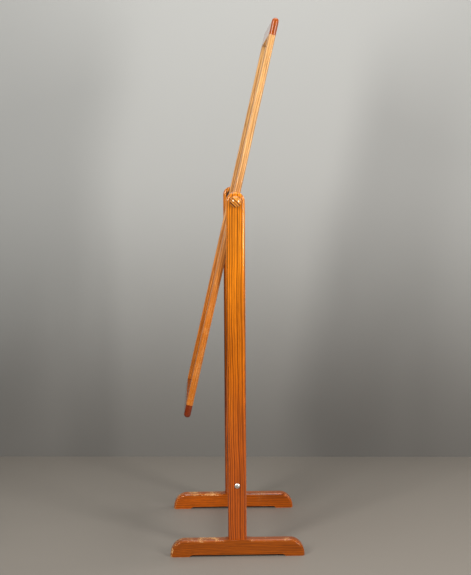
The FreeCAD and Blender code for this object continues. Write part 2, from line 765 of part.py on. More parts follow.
KNOB_BASE = f"( {POST_OUTER} + washer_thickness + 2 * clamp_gap )"
STUD_BORE = "stud_diameter + 2 * stud_gap"
LOOSE_BORE = "stud_diameter + 2 * post_bore_gap"

for side_name, side in SIDES:
    make_foot(side_name, side)
    make_post(side_name, side)
    make_foot_screws(side_name, side)
    make_stretcher_bolt(side_name, side)
    make_barrel_nut(side_name, side)
    make_stretcher_dowels(side_name, side)
make_stretcher()

for side_name, side in SIDES:
    make_stile(side_name, side)
make_rail("top_rail", STILE_TOP, "panel_rise", 1)
make_rail("bottom_rail", STILE_BOTTOM, "( -1 * panel_drop )", -1)
make_sheet("mirror_glass", REBATE_FACE, "glass_thickness")
make_sheet("back_board", f"{REBATE_FACE} + glass_thickness", "board_thickness")
make_frame_dowels("top_dowels", STILE_TOP, 1)
make_frame_dowels("bottom_dowels", STILE_BOTTOM, -1)
make_brads()

for side_name, side in SIDES:
    insert = make_ring(f"threaded_insert_{side_name}", "insert_diameter", STUD_BORE,
                       "insert_length")
    place_on_pivot(insert, f"threaded_insert_{side_name}", side,
                   f"( {PANEL_SIDE} - insert_length )")
    spacer = make_ring(f"pivot_spacer_{side_name}", "spacer_diameter", LOOSE_BORE,
                       "spacer_thickness")
    place_on_pivot(spacer, f"pivot_spacer_{side_name}", side, PANEL_SIDE)
    washer = make_ring(f"knob_washer_{side_name}", "washer_diameter", LOOSE_BORE,
                       "washer_thickness")
    place_on_pivot(washer, f"knob_washer_{side_name}", side, f"( {POST_OUTER} + clamp_gap )")
    make_knob(side_name, side)
    make_stud(side_name, side)

# ---- Checks and export ----------------------------------------------------------------------

document.recompute()
for item in document.Objects:
    if {"Invalid", "Error"} & set(item.State):
        raise RuntimeError(f"{item.Label} failed: {item.State}")
for item in nodes:
    if item.Shape.isNull() or not item.Shape.isValid():
        raise RuntimeError(f"{item.Label} has no valid shape")

os.makedirs("parts", exist_ok=True)
for item in nodes:
    item.Shape.exportStep(f"parts/{item.Label}.step")
    box = item.Shape.BoundBox
    print(f"{item.Label:24s} solids {len(item.Shape.Solids)}  volume {item.Shape.Volume:10.0f}  "
          f"X {box.XMin:7.1f} {box.XMax:7.1f}  Y {box.YMin:7.1f} {box.YMax:7.1f}  "
          f"Z {box.ZMin:7.1f} {box.ZMax:7.1f}")
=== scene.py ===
# %% [markdown]
# # A tilting floor mirror in lacquered pine
#
# Two round-topped posts on sled feet carry a framed mirror that turns on a pair of threaded studs.
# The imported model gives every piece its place.  Here each visible piece is made again as a smooth
# surface with softened edges, and every finish is built from shader nodes.
#
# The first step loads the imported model.  Everything is in metres: X runs along the pivot, the
# mirror faces -Y and Z is up.

# %% Load the frame
import json
import math

import bmesh
import bpy
import numpy as np
from mathutils import Matrix, Vector
from mathutils.geometry import tessellate_polygon


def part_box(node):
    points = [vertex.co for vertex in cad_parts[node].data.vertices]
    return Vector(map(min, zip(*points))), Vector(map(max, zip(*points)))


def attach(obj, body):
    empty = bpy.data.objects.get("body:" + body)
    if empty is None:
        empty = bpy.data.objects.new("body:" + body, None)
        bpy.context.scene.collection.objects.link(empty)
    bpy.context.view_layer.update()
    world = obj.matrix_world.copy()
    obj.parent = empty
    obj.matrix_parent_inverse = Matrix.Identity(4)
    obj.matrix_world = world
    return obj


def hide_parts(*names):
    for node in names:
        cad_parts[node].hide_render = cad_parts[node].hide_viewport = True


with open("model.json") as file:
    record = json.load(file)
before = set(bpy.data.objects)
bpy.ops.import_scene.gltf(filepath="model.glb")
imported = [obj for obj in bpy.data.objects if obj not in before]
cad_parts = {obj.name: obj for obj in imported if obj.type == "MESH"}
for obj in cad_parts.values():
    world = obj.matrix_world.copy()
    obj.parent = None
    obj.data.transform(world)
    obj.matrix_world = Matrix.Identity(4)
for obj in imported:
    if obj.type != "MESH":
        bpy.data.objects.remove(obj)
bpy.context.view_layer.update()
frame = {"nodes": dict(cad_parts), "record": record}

SIDES = (("right", 1), ("left", -1))


# %% [markdown]
# ## The camera
#
# A tall thin object seen from its side looks best through a long lens, because a long lens keeps
# the near and the far foot almost the same size.  The camera stands four metres out along +X, a
# little above the pivot, and looks slightly down.  Its three axes are worked out from yaw, pitch
# and roll, which is easier to reason about than three Euler angles.

# %% Camera
def add_object(name, data):
    """Put a mesh, a light or a camera into the scene."""
    thing = bpy.data.objects.new(name, data)
    bpy.context.scene.collection.objects.link(thing)
    return thing


def aim_camera(place, yaw, pitch, roll, lens):
    """Make a camera whose forward axis is -X turned by yaw and pitch, then rolled about itself."""
    yaw, pitch, roll = (math.radians(angle) for angle in (yaw, pitch, roll))
    forward = Vector((-math.cos(pitch) * math.cos(yaw), -math.cos(pitch) * math.sin(yaw),
                      math.sin(pitch)))
    level = forward.cross(Vector((0, 0, 1))).normalized()
    raised = level.cross(forward)
    right = level * math.cos(roll) + raised * math.sin(roll)
    up = raised * math.cos(roll) - level * math.sin(roll)
    data = bpy.data.cameras.new("studio_camera")
    data.sensor_fit = "VERTICAL"
    data.sensor_height = 36
    data.lens = lens
    camera = add_object("studio_camera", data)
    turn = Matrix((right, up, -forward)).transposed().to_4x4()
    camera.matrix_world = Matrix.Translation(place) @ turn
    return camera


bpy.context.scene.camera = aim_camera((4.037, -0.094, 1.211), -1.41, -6.14, -0.35, 81.2)
print("camera at", tuple(bpy.context.scene.camera.location))


# %% [markdown]
# ## Node helpers
#
# Shader trees grow long when every node takes four lines.  A few small helpers keep them short.
# They all fill an input in the same way: with a plain value, or with a link from another node.

# %% Helpers for shader nodes
def feed(tree, node, inputs):
    """Fill inputs of a node, each with a value or a link."""
    for key, given in inputs.items():
        if isinstance(given, bpy.types.NodeSocket):
            tree.links.new(given, node.inputs[key])
        else:
            node.inputs[key].default_value = given


def put(tree, kind, inputs=None, **settings):
    """Add a node, apply its settings, and fill its inputs."""
    node = tree.nodes.new(kind)
    for key, setting in settings.items():
        setattr(node, key, setting)
    feed(tree, node, inputs or {})
    return node


def reckon(tree, operation, *terms, clamp=False):
    """One Math node on up to three numbers or sockets."""
    inputs = dict(enumerate(terms))
    return put(tree, "ShaderNodeMath", inputs, operation=operation, use_clamp=clamp).outputs[0]


def vector_reckon(tree, operation, *terms):
    """One Vector Math node on vectors or sockets."""
    return put(tree, "ShaderNodeVectorMath", dict(enumerate(terms)), operation=operation).outputs[0]


def ramp_between(tree, given, low, high, to_low=0.0, to_high=1.0):
    """A smooth step: to_low below low, to_high above high, an S-curve between."""
    inputs = {"Value": given, "From Min": low, "From Max": high, "To Min": to_low,
              "To Max": to_high}
    return put(tree, "ShaderNodeMapRange", inputs, interpolation_type="SMOOTHSTEP").outputs[0]


def times(tree, first, second):
    """The product of two numbers or sockets."""
    return reckon(tree, "MULTIPLY", first, second)


def blend_colours(tree, factor, first, second, mode="MIX"):
    """Mix two colours by a factor."""
    return put(tree, "ShaderNodeMix", {0: factor, 6: first, 7: second}, data_type="RGBA",
               blend_type=mode).outputs[2]


def noise(tree, where, scale, detail=2.0, roughness=0.5):
    """Noise between 0 and 1 at a vector."""
    inputs = {"Vector": where, "Scale": scale, "Detail": detail, "Roughness": roughness}
    return put(tree, "ShaderNodeTexNoise", inputs).outputs["Fac"]


def stretched_noise(tree, where, squeeze, scale=1.0, detail=1.0):
    """Noise whose grains are drawn out: squeeze counts them per metre along X, Y and Z."""
    return noise(tree, vector_reckon(tree, "MULTIPLY", where, squeeze), scale, detail)


def bump(tree, height, strength, distance):
    """The normal of a surface that a height between 0 and 1 lifts by up to distance."""
    return put(tree, "ShaderNodeBump", {"Height": height, "Strength": strength,
               "Distance": distance}).outputs[0]


def new_group(name, takes, gives):
    """A shader node group.  takes lists (name, kind, default), gives the names of its numbers."""
    tree = bpy.data.node_groups.new(name, "ShaderNodeTree")
    for label, kind, default in takes:
        socket = tree.interface.new_socket(label, in_out="INPUT", socket_type=f"NodeSocket{kind}")
        if default is not None:
            socket.default_value = default
    for label in gives:
        tree.interface.new_socket(label, in_out="OUTPUT", socket_type="NodeSocketFloat")
    return tree, tree.nodes.new("NodeGroupInput").outputs, tree.nodes.new("NodeGroupOutput")


def use_group(tree, group, **inputs):
    """Place a group in a material and fill its inputs, named with _ for a space."""
    filled = {name.replace("_", " "): given for name, given in inputs.items()}
    return put(tree, "ShaderNodeGroup", filled, node_tree=group).outputs


def linear(red, green, blue):
    """A colour given as 0-255 display values, as the linear RGBA that a shader wants."""
    shown = np.array([red, green, blue]) / 255
    return (*np.where(shown <= 0.04045, shown / 12.92, ((shown + 0.055) / 1.055) ** 2.4), 1.0)


def new_material(name):
    """A material with its output and Principled node, and the place on the object as a socket."""
    material = bpy.data.materials.new(name)
    material.use_nodes = True
    tree = material.node_tree
    tree.nodes.clear()
    shader = tree.nodes.new("ShaderNodeBsdfPrincipled")
    output = tree.nodes.new("ShaderNodeOutputMaterial")
    tree.links.new(shader.outputs[0], output.inputs["Surface"])
    return material, tree, shader, put(tree, "ShaderNodeTexCoord").outputs["Object"]


# %% [markdown]
# ## Growth rings, one solid texture for every board
#
# A plank is a slice through a tree, so its figure is best made the same way: rings round a pith
# line, computed in all three dimensions.  Sawn far from the pith the rings read as straight
# lines, sawn close to it they open into arches, and the end of a board shows end grain without
# any extra work.  A flat picture of grain could not turn a corner like that.
#
# The group wants a position whose Z runs along the grain and whose origin is on the pith.  The
# distance to the pith is first bent by slow noise, because trees aren't cylinders.  Divided by
# the ring width it gives a ring number and a place within the ring.  Pine darkens slowly through
# the summer and stops short in autumn, so the late wood rises gently and ends in a crisp line.

# %% Node group: growth rings
def build_growth_rings():
    takes = [("Position", "Vector", None), ("Ring Width", "Float", 0.005),
             ("Wander", "Float", 0.004), ("Sharpness", "Float", 0.5)]
    tree, given, result = new_group("growth rings", takes, ("Late Wood", "Fibre", "Cloud"))
    # The trunk's own bends: slow across it and slower still along it.
    slow = vector_reckon(tree, "MULTIPLY", given["Position"], (9.0, 9.0, 2.6))
    drift = put(tree, "ShaderNodeTexNoise", {"Vector": slow, "Scale": 1.0, "Detail": 2.0})
    bend = vector_reckon(tree, "SUBTRACT", drift.outputs["Color"], (0.5, 0.5, 0.5))
    bend = put(tree, "ShaderNodeVectorMath", {0: bend, "Scale": given["Wander"]}, operation="SCALE")
    bent = vector_reckon(tree, "ADD", given["Position"], bend.outputs[0])
    flat = vector_reckon(tree, "MULTIPLY", bent, (1.0, 1.0, 0.0))
    reach = put(tree, "ShaderNodeVectorMath", {0: flat}, operation="LENGTH").outputs["Value"]
    lean_years = put(tree, "ShaderNodeTexNoise", {"W": times(tree, reach, 55.0),
                     "Scale": 1.0, "Detail": 2.0}, noise_dimensions="1D").outputs["Fac"]
    count = reckon(tree, "DIVIDE", reach, given["Ring Width"])
    count = reckon(tree, "ADD", count, times(tree, lean_years, 1.2))
    season = reckon(tree, "FRACT", count)
    year = reckon(tree, "FLOOR", count)
    rise = ramp_between(tree, season, given["Sharpness"],
                        reckon(tree, "ADD", given["Sharpness"], 0.35))
    stop = ramp_between(tree, season, 0.95, 1.0, 1.0, 0.0)
    tone = put(tree, "ShaderNodeTexWhiteNoise", {"W": year}, noise_dimensions="1D").outputs["Value"]
    late = times(tree, rise, stop)
    late = times(tree, late, reckon(tree, "MULTIPLY_ADD", tone, 0.55, 0.45))
    hair = stretched_noise(tree, bent, (1500.0, 1500.0, 28.0))
    strand = stretched_noise(tree, bent, (420.0, 420.0, 7.0), detail=2.0)
    fibre = times(tree, reckon(tree, "ADD", hair, strand), 0.5)
    cloud = stretched_noise(tree, given["Position"], (30.0, 30.0, 4.0), detail=3.0)
    feed(tree, result, {"Late Wood": late, "Fibre": fibre, "Cloud": cloud})
    return tree


growth_rings = build_growth_rings()


# %% [markdown]
# ## Handling marks
#
# A lacquered stand that has been moved about is worn pale along its edges, carries a few fine
# scratches and holds a little dust in its film.  The builder of each piece stores a number called
# "edge" on its mesh, one on a rounded edge and zero on a flat, and this group breaks that number
# up with noise so that the wear comes in patches, more of them towards the front (-Y): partly wear
# where feet and hands pass, partly a painted highlight for the brighter -Y ends.  Scratches are
# thin bands where a stretched noise passes its middle value.

# %% Node group: handling marks
def build_handling_marks():
    takes = [("Position", "Vector", None), ("Edge", "Float", 0.0), ("Amount", "Float", 0.5),
             ("Scratch Amount", "Float", 0.3)]
    tree, given, result = new_group("handling marks", takes, ("Rub And Sheen", "Scratch", "Film", "Dent"))
    position, edge = given["Position"], given["Edge"]
    patch = noise(tree, position, 26.0, 4.0, 0.65)
    depth = put(tree, "ShaderNodeSeparateXYZ", {0: position}).outputs[1]
    patch = reckon(tree, "MULTIPLY_ADD", depth, -0.5, patch)  # the patches lean towards -Y, the front: partly wear, partly a painted highlight
    chip = noise(tree, position, 320.0, 3.0, 0.6)
    broken = times(tree, reckon(tree, "ADD", patch, chip), 0.5)
    worn = ramp_between(tree, broken, 0.54, 0.60)
    rub_and_sheen_mask = times(tree, times(tree, worn, edge), given["Amount"])
    bands = []
    for turn, squeeze in ((0.4, (40.0, 300.0, 90.0)), (1.2, (60.0, 90.0, 420.0))):
        swung = put(tree, "ShaderNodeVectorRotate", {"Vector": position, "Angle": turn},
                    rotation_type="X_AXIS").outputs[0]
        field = stretched_noise(tree, swung, squeeze, 0.35)
        middle = reckon(tree, "ABSOLUTE", reckon(tree, "SUBTRACT", field, 0.5))
        bands.append(ramp_between(tree, middle, 0.0, 0.006, 1.0, 0.0))
    where = ramp_between(tree, noise(tree, position, 14.0), 0.55, 0.66)
    scratch = times(tree, reckon(tree, "MAXIMUM", *bands), where)
    scratch = times(tree, scratch, given["Scratch Amount"])
    film = noise(tree, position, 60.0, 5.0, 0.6)
    pressed = ramp_between(tree, noise(tree, position, 120.0), 0.58, 0.72)
    dent = times(tree, edge, pressed)
    feed(tree, result, {"Rub And Sheen": rub_and_sheen_mask, "Scratch": scratch, "Film": film, "Dent": dent})
    return tree


handling_marks = build_handling_marks()


# %% [markdown]
# ## Lacquered boards
#
# Every board gets a material of its own, because every board came from another part of the tree.
# A Mapping node of type TEXTURE carries the surface into the log: its location is where the pith
# runs and its rotation turns the log's Z along the board.  Early and late wood take two colours
# of the same amber, fibres and clouds shift them a little, and some boards turn paler higher up:
# partly daylight fading, partly painted light for the tops that the lamps above light more.  The
# lacquer is a clear coat over a softer base, so that the highlight is crisp while the wood below
# stays silky.

# %% Material maker: lacquered board
def board_finish(name, early, late, pith, turn=(0, 0, 0), ring=0.005, wander=0.02, strength=0.85,
                 sharpness=0.45, wear=0.4, scratches=0.25, fibre_depth=0.35, rub_and_sheen=None,
                 cloudiness=0.5, roughness=0.36, coat=0.35, coat_roughness=0.12, faded_and_top_lit=None,
                 fade_and_light_low=0.35, fade_and_light_high=1.45):
    """A lacquered wood: growth rings for colour and relief, handling marks on top.

    A paler early-wood tone, when given, takes over from the lower given height, where it begins,
    to the upper one, where it is complete: partly daylight fading, partly painted light for the
    tops.
    """
    material, tree, shader, place = new_material(name)
    turned = [math.radians(angle) for angle in turn]
    log = put(tree, "ShaderNodeMapping", {"Vector": place, "Location": pith, "Rotation": turned},
              vector_type="TEXTURE").outputs[0]
    edge = put(tree, "ShaderNodeAttribute", attribute_name="edge").outputs["Fac"]
    rings = use_group(tree, growth_rings, Position=log, Ring_Width=ring, Wander=wander,
                      Sharpness=sharpness)
    marks = use_group(tree, handling_marks, Position=place, Edge=edge, Amount=wear,
                      Scratch_Amount=scratches)
    soft_wood = linear(*early)
    # Paler early wood higher up: partly daylight fading, partly painted light for tops lit more
    # strongly.
    if faded_and_top_lit:
        height = put(tree, "ShaderNodeSeparateXYZ", {0: place}).outputs[2]
        height = reckon(tree, "MULTIPLY_ADD", rings["Cloud"], 0.3, height)
        fade_and_top_light = ramp_between(tree, height, fade_and_light_low, fade_and_light_high)
        soft_wood = blend_colours(tree, fade_and_top_light, soft_wood, linear(*faded_and_top_lit))
    colour = blend_colours(tree, times(tree, rings["Late Wood"], strength),
                           soft_wood, linear(*late))
    shade = ramp_between(tree, rings["Fibre"], 0.3, 0.7, 1.0 - fibre_depth, 1.0 + 0.4 * fibre_depth)
    cloud = ramp_between(tree, rings["Cloud"], 0.25, 0.75, 1.0 - 0.3 * cloudiness,
                         1.0 + 0.2 * cloudiness)
    tint = times(tree, shade, cloud)
    tint = put(tree, "ShaderNodeCombineColor", {0: tint, 1: tint, 2: tint}).outputs[0]
    colour = blend_colours(tree, 1.0, colour, tint, "MULTIPLY")
    # Pale patches and scratches: worn lacquer, and where they lean to -Y also a painted highlight.
    pale = rub_and_sheen or tuple(min(255, part * 1.12 + 26) for part in early)
    bare_and_sheen = reckon(tree, "MAXIMUM", marks["Rub And Sheen"], marks["Scratch"])
    colour = blend_colours(tree, bare_and_sheen, colour, linear(*pale))
    dull = reckon(tree, "MULTIPLY_ADD", marks["Film"], 0.16, roughness - 0.08)
    dull = reckon(tree, "MULTIPLY_ADD", bare_and_sheen, 0.2, dull)
    whole = reckon(tree, "SUBTRACT", coat, times(tree, bare_and_sheen, 0.4), clamp=True)
    relief = times(tree, rings["Late Wood"], 0.5)
    for height, share in ((rings["Fibre"], 0.35), (marks["Dent"], -6.0), (marks["Scratch"], -1.5)):
        relief = reckon(tree, "MULTIPLY_ADD", height, share, relief)
    feed(tree, shader, {
        "Base Color": colour, "Roughness": dull, "Specular IOR Level": 0.15, "Coat Weight": whole,
        "Coat Roughness": coat_roughness, "Normal": bump(tree, relief, 0.5, 0.00012)})
    return material


# %% [markdown]
# ## Turning arrays into meshes
#
# Every surface below is an array of points.  A grid of points becomes quads by joining each point
# to its neighbours, a flat face with holes is cut into triangles between its loops, and a piece
# is several such patches welded at their seams.  Welding first and turning the normals outward
# afterwards gives one closed skin, which is what a solid board has.

# %% Helpers for surfaces
WELD = 2e-6
SMOOTH_BELOW = math.radians(33)


def grid(points, close_rows=False, close_columns=False, edge=0.0, skip=None):
    """Quads between neighbouring points of a (rows, columns, 3) array, as a patch.

    edge is the wear number of each point, or one for all, and skip names one quad to leave open.
    """
    rows, columns = points.shape[:2]
    row, column = np.meshgrid(np.arange(rows if close_rows else rows - 1),
                              np.arange(columns if close_columns else columns - 1), indexing="ij")
    below, beside = (row + 1) % rows, (column + 1) % columns
    quads = np.stack([row * columns + column, below * columns + column,
                      below * columns + beside, row * columns + beside], -1)
    if skip is not None:
        quads = quads[(row != skip[0]) | (column != skip[1])]
    wear = np.broadcast_to(edge, (rows, columns)).reshape(-1)
    return points.reshape(-1, 3), quads.reshape(-1, 4), wear


def flat(*loops):
    """A flat face between an outer loop and any holes, cut into triangles."""
    cut = tessellate_polygon([[Vector(point) for point in loop] for loop in loops])
    points = np.concatenate(loops)
    return points, np.array(cut), np.zeros(len(points))


def full_turn(steps):
    """Evenly spaced angles once round, without the last one, which is the first again."""
    return np.linspace(0, 2 * math.pi, steps, endpoint=False)


def circle(centre, radius, steps=48, across=(1, 2)):
    """A circle: radius * (cos, sin) on the two axes that across names, about the centre."""
    points = np.tile(np.array(centre, float), (steps, 1))
    points[:, across[0]] += radius * np.cos(full_turn(steps))
    points[:, across[1]] += radius * np.sin(full_turn(steps))
    return points


def at_x(x, outline):
    """An outline of (y, z) points as 3-D points, all at one place along X."""
    return np.column_stack([np.full(len(outline), x), outline])


def wall(*loops):
    """The skin between loops of equal count, closed round."""
    return grid(np.stack(loops), close_columns=True)


def bar_patches(skin, edge=0.0):
    """A tube of sections with a flat face on its first and its last one."""
    return [grid(skin, close_columns=True, edge=edge), flat(skin[0]), flat(skin[-1])]


def make_piece(name, patches, material, body, slot, stands_for, sharp=SMOOTH_BELOW):
    """Weld patches into one closed mesh, turn it outward, shade it, and give it its body."""
    starts = np.cumsum([0] + [len(patch[0]) for patch in patches[:-1]])
    points = np.concatenate([patch[0] for patch in patches])
    faces = [face for start, patch in zip(starts, patches) for face in (patch[1] + start).tolist()]
    mesh = bpy.data.meshes.new(name)
    mesh.from_pydata(points, [], faces)
    wear = mesh.attributes.new("edge", "FLOAT", "POINT")
    wear.data.foreach_set("value", np.concatenate([patch[2] for patch in patches]))
    skin = bmesh.new()
    skin.from_mesh(mesh)
    bmesh.ops.remove_doubles(skin, verts=skin.verts, dist=WELD)
    bmesh.ops.recalc_face_normals(skin, faces=skin.faces)
    open_edges = sum(not link.is_manifold for link in skin.edges)
    skin.to_mesh(mesh)
    skin.free()
    mesh.shade_smooth()
    mesh.set_sharp_from_angle(angle=sharp)
    mesh.materials.append(material)
    piece = add_object(name, mesh)
    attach(piece, body)
    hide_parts(*stands_for)
    print(f"{name}: {len(mesh.polygons)} faces, {open_edges} open edges")
    return piece


def round_over(radius, half, support=0.0006, steps=8):
    """The edge of a board from one face to the other, as (inset, height) pairs.

    Two quarter circles of the given radius, with one more point on each flat, so that the shading
    of the flat stays flat.
    """
    bend = np.linspace(0, math.pi / 2, steps + 1)
    inset = radius * (1 - np.sin(bend))
    height = half - radius * (1 - np.cos(bend))
    inset = np.concatenate([[radius + support], inset, inset[::-1], [radius + support]])
    height = np.concatenate([[half], height, -height[::-1], [-half]])
    return inset, height


# %% [markdown]
# ## Places that several pieces share
#
# The pivot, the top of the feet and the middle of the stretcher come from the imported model.  The
# post's tenon is made twice, once on the post and once as the hole in the foot, so its outline is
# kept here too.

# %% Places that several pieces share
pivot = Vector(next(joint for joint in frame["record"]["behaviour"]["joints"]
                    if joint["name"] == "panel_tilt")["pos_m"])
foot_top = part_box("foot_right")[1][2]
stretcher_low, stretcher_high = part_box("stretcher")
stretcher_level = (stretcher_low[2] + stretcher_high[2]) / 2
TENON_THICKNESS = 0.014
TENON_WIDTH = 0.04


def board_box(name):
    """The box of an upright board: its middle and half thickness along X, then its corners."""
    low, high = (Vector(corner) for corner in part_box(name))
    return (low.x + high.x) / 2, (high.x - low.x) / 2, low, high


def tenon_outline(x, z):
    """The four corners of the post's tenon, or of the hole for it, at a height."""
    thick, wide = TENON_THICKNESS / 2, TENON_WIDTH / 2
    return np.array([[x - thick, -wide, z], [x + thick, -wide, z], [x + thick, wide, z],
                     [x - thick, wide, z]])


print("pivot at", tuple(round(v, 4) for v in pivot))


# %% [markdown]
# ## Posts
#
# Each post is a 55 by 28 mm pine board with a half-round top, and a router has run an 8 mm
# rounding bit round all its long edges.  It could be a box with a bevel, but the top is an arc
# and the bores must be real.  So the edge profile is carried along the outline, up one side, over
# the top and down the other, and the two faces are filled between that rim and the holes: the
# pivot bore, the counterbore for the bolt's head and the stub tenon below.

# %% Posts
POST_ROUND = 0.008
PIVOT_BORE = 0.00408
BOLT_BORE = 0.0033
COUNTERBORE = 0.009
COUNTERBORE_DEPTH = 0.002


def make_post(side_name, side, material):
    """The rim is P(u, v) = outline(u) + inset(v) * inward(u), lifted by height(v) along X."""
    centre, half_thick, low, high = board_box(f"post_{side_name}")
    half_wide = high.y
    turn = np.linspace(math.pi, 0, 65)
    arch = np.stack([np.cos(turn), np.sin(turn)], 1)
    path = np.vstack([[-half_wide, foot_top], arch * half_wide + (0, pivot.z),
                      [half_wide, foot_top]])
    inward = np.vstack([[1, 0], -arch, [-1, 0]])
    inset, height = round_over(POST_ROUND, half_thick)
    rim = np.empty((len(path), len(inset), 3))
    rim[..., 0] = centre + side * height
    rim[..., 1:] = path[:, None] + inward[:, None] * inset[None, :, None]
    worn = np.where(inset < POST_ROUND * 0.8, 1.0, 0.0)
    outside, inside = centre + side * half_thick, centre - side * half_thick
    floor = outside - side * COUNTERBORE_DEPTH
    bores = {x: circle((x, 0, pivot.z), PIVOT_BORE, 32) for x in (outside, inside)}
    rims = [circle((x, 0, stretcher_level), COUNTERBORE) for x in (outside, floor)]
    seats = [circle((x, 0, stretcher_level), BOLT_BORE) for x in (floor, inside)]
    tenon = [tenon_outline(centre, z) for z in (foot_top, low.z)]
    patches = [
        grid(rim, edge=worn),
        flat(rim[:, 0], bores[outside], rims[0]),
        flat(rim[:, -1], bores[inside], seats[1]),
        flat(np.vstack([rim[0], rim[-1, ::-1]]), tenon[0]),
        wall(bores[outside], bores[inside]),
        wall(*rims), flat(rims[1], seats[0]), wall(*seats),
        wall(*tenon), flat(tenon[1]),
    ]
    return make_piece(f"lacquered_post_{side_name}", patches, material, "stand",
                      "lacquered_pine", [f"post_{side_name}"])


# %% Posts: finish and making
AMBER = (190, 86, 2)
AMBER_LATE = (82, 22, 0)
POST_LOGS = {"right": (0.235, -0.118, 0.3), "left": (-0.205, 0.020, 0.7)}
# The posts grow paler and yellower towards the top: partly daylight fading, partly painted light.
for side_name, side in SIDES:
    finish = board_finish(f"amber_lacquer_post_{side_name}", AMBER, AMBER_LATE,
                          POST_LOGS[side_name], turn=(0.35, 0.2, 0), ring=0.0068,
                          strength=0.9, sharpness=0.4, coat=0.85, coat_roughness=0.07,
                          faded_and_top_lit=(250, 148, 24), fade_and_light_high=1.35)
    make_post(side_name, side, finish)


# %% [markdown]
# ## Sled feet
#
# A foot is a 400 mm bar that stands on two toes.  Its ends are quarter rounds, a cove hollows it
# between the toes, and its upper edges carry a 5 mm chamfer that stops short of the post, where
# the round cutter lifted out in a curve.  The chamfer's width is therefore a function of the place
# along the foot: full near the ends, then the cutter's own circle down to nothing.

# %% Feet
FOOT_RADIUS = 0.044
CHAMFER = 0.005
CHAMFER_STOP = 0.054  # from the middle of the foot
CUTTER = 0.050
LIFT_OUT = 0.0229  # the cutter's run from the full chamfer to none
EASE = 0.0004
TOE = 0.056
RELIEF = 0.006
COVE = 0.015
SCREW_SPREAD = 0.012
SCREW_HEAD = 0.0045
SCREW_SHANK = 0.00225


def chamfer_width(y):
    """Full beyond the stop; inside it the cutter's circle, sqrt((R + c)^2 - (stop - |y|)^2) - R."""
    run = np.clip(CHAMFER_STOP - np.abs(y), 0, None)
    curve = np.sqrt(np.clip((CUTTER + CHAMFER) ** 2 - run ** 2, CUTTER ** 2, None)) - CUTTER
    return np.clip(curve, EASE, CHAMFER)


def softened_corner(before, corner, after, reach, steps=4):
    """A quadratic curve that cuts a corner: it leaves the two sides a distance reach away."""
    toward = (before - corner) / np.linalg.norm(before - corner, axis=-1, keepdims=True)
    away = (after - corner) / np.linalg.norm(after - corner, axis=-1, keepdims=True)
    start, end = corner + toward * reach, corner + away * reach
    part = np.linspace(0, 1, steps + 1)[:, None, None]
    return (1 - part) ** 2 * start + 2 * part * (1 - part) * corner + part ** 2 * end


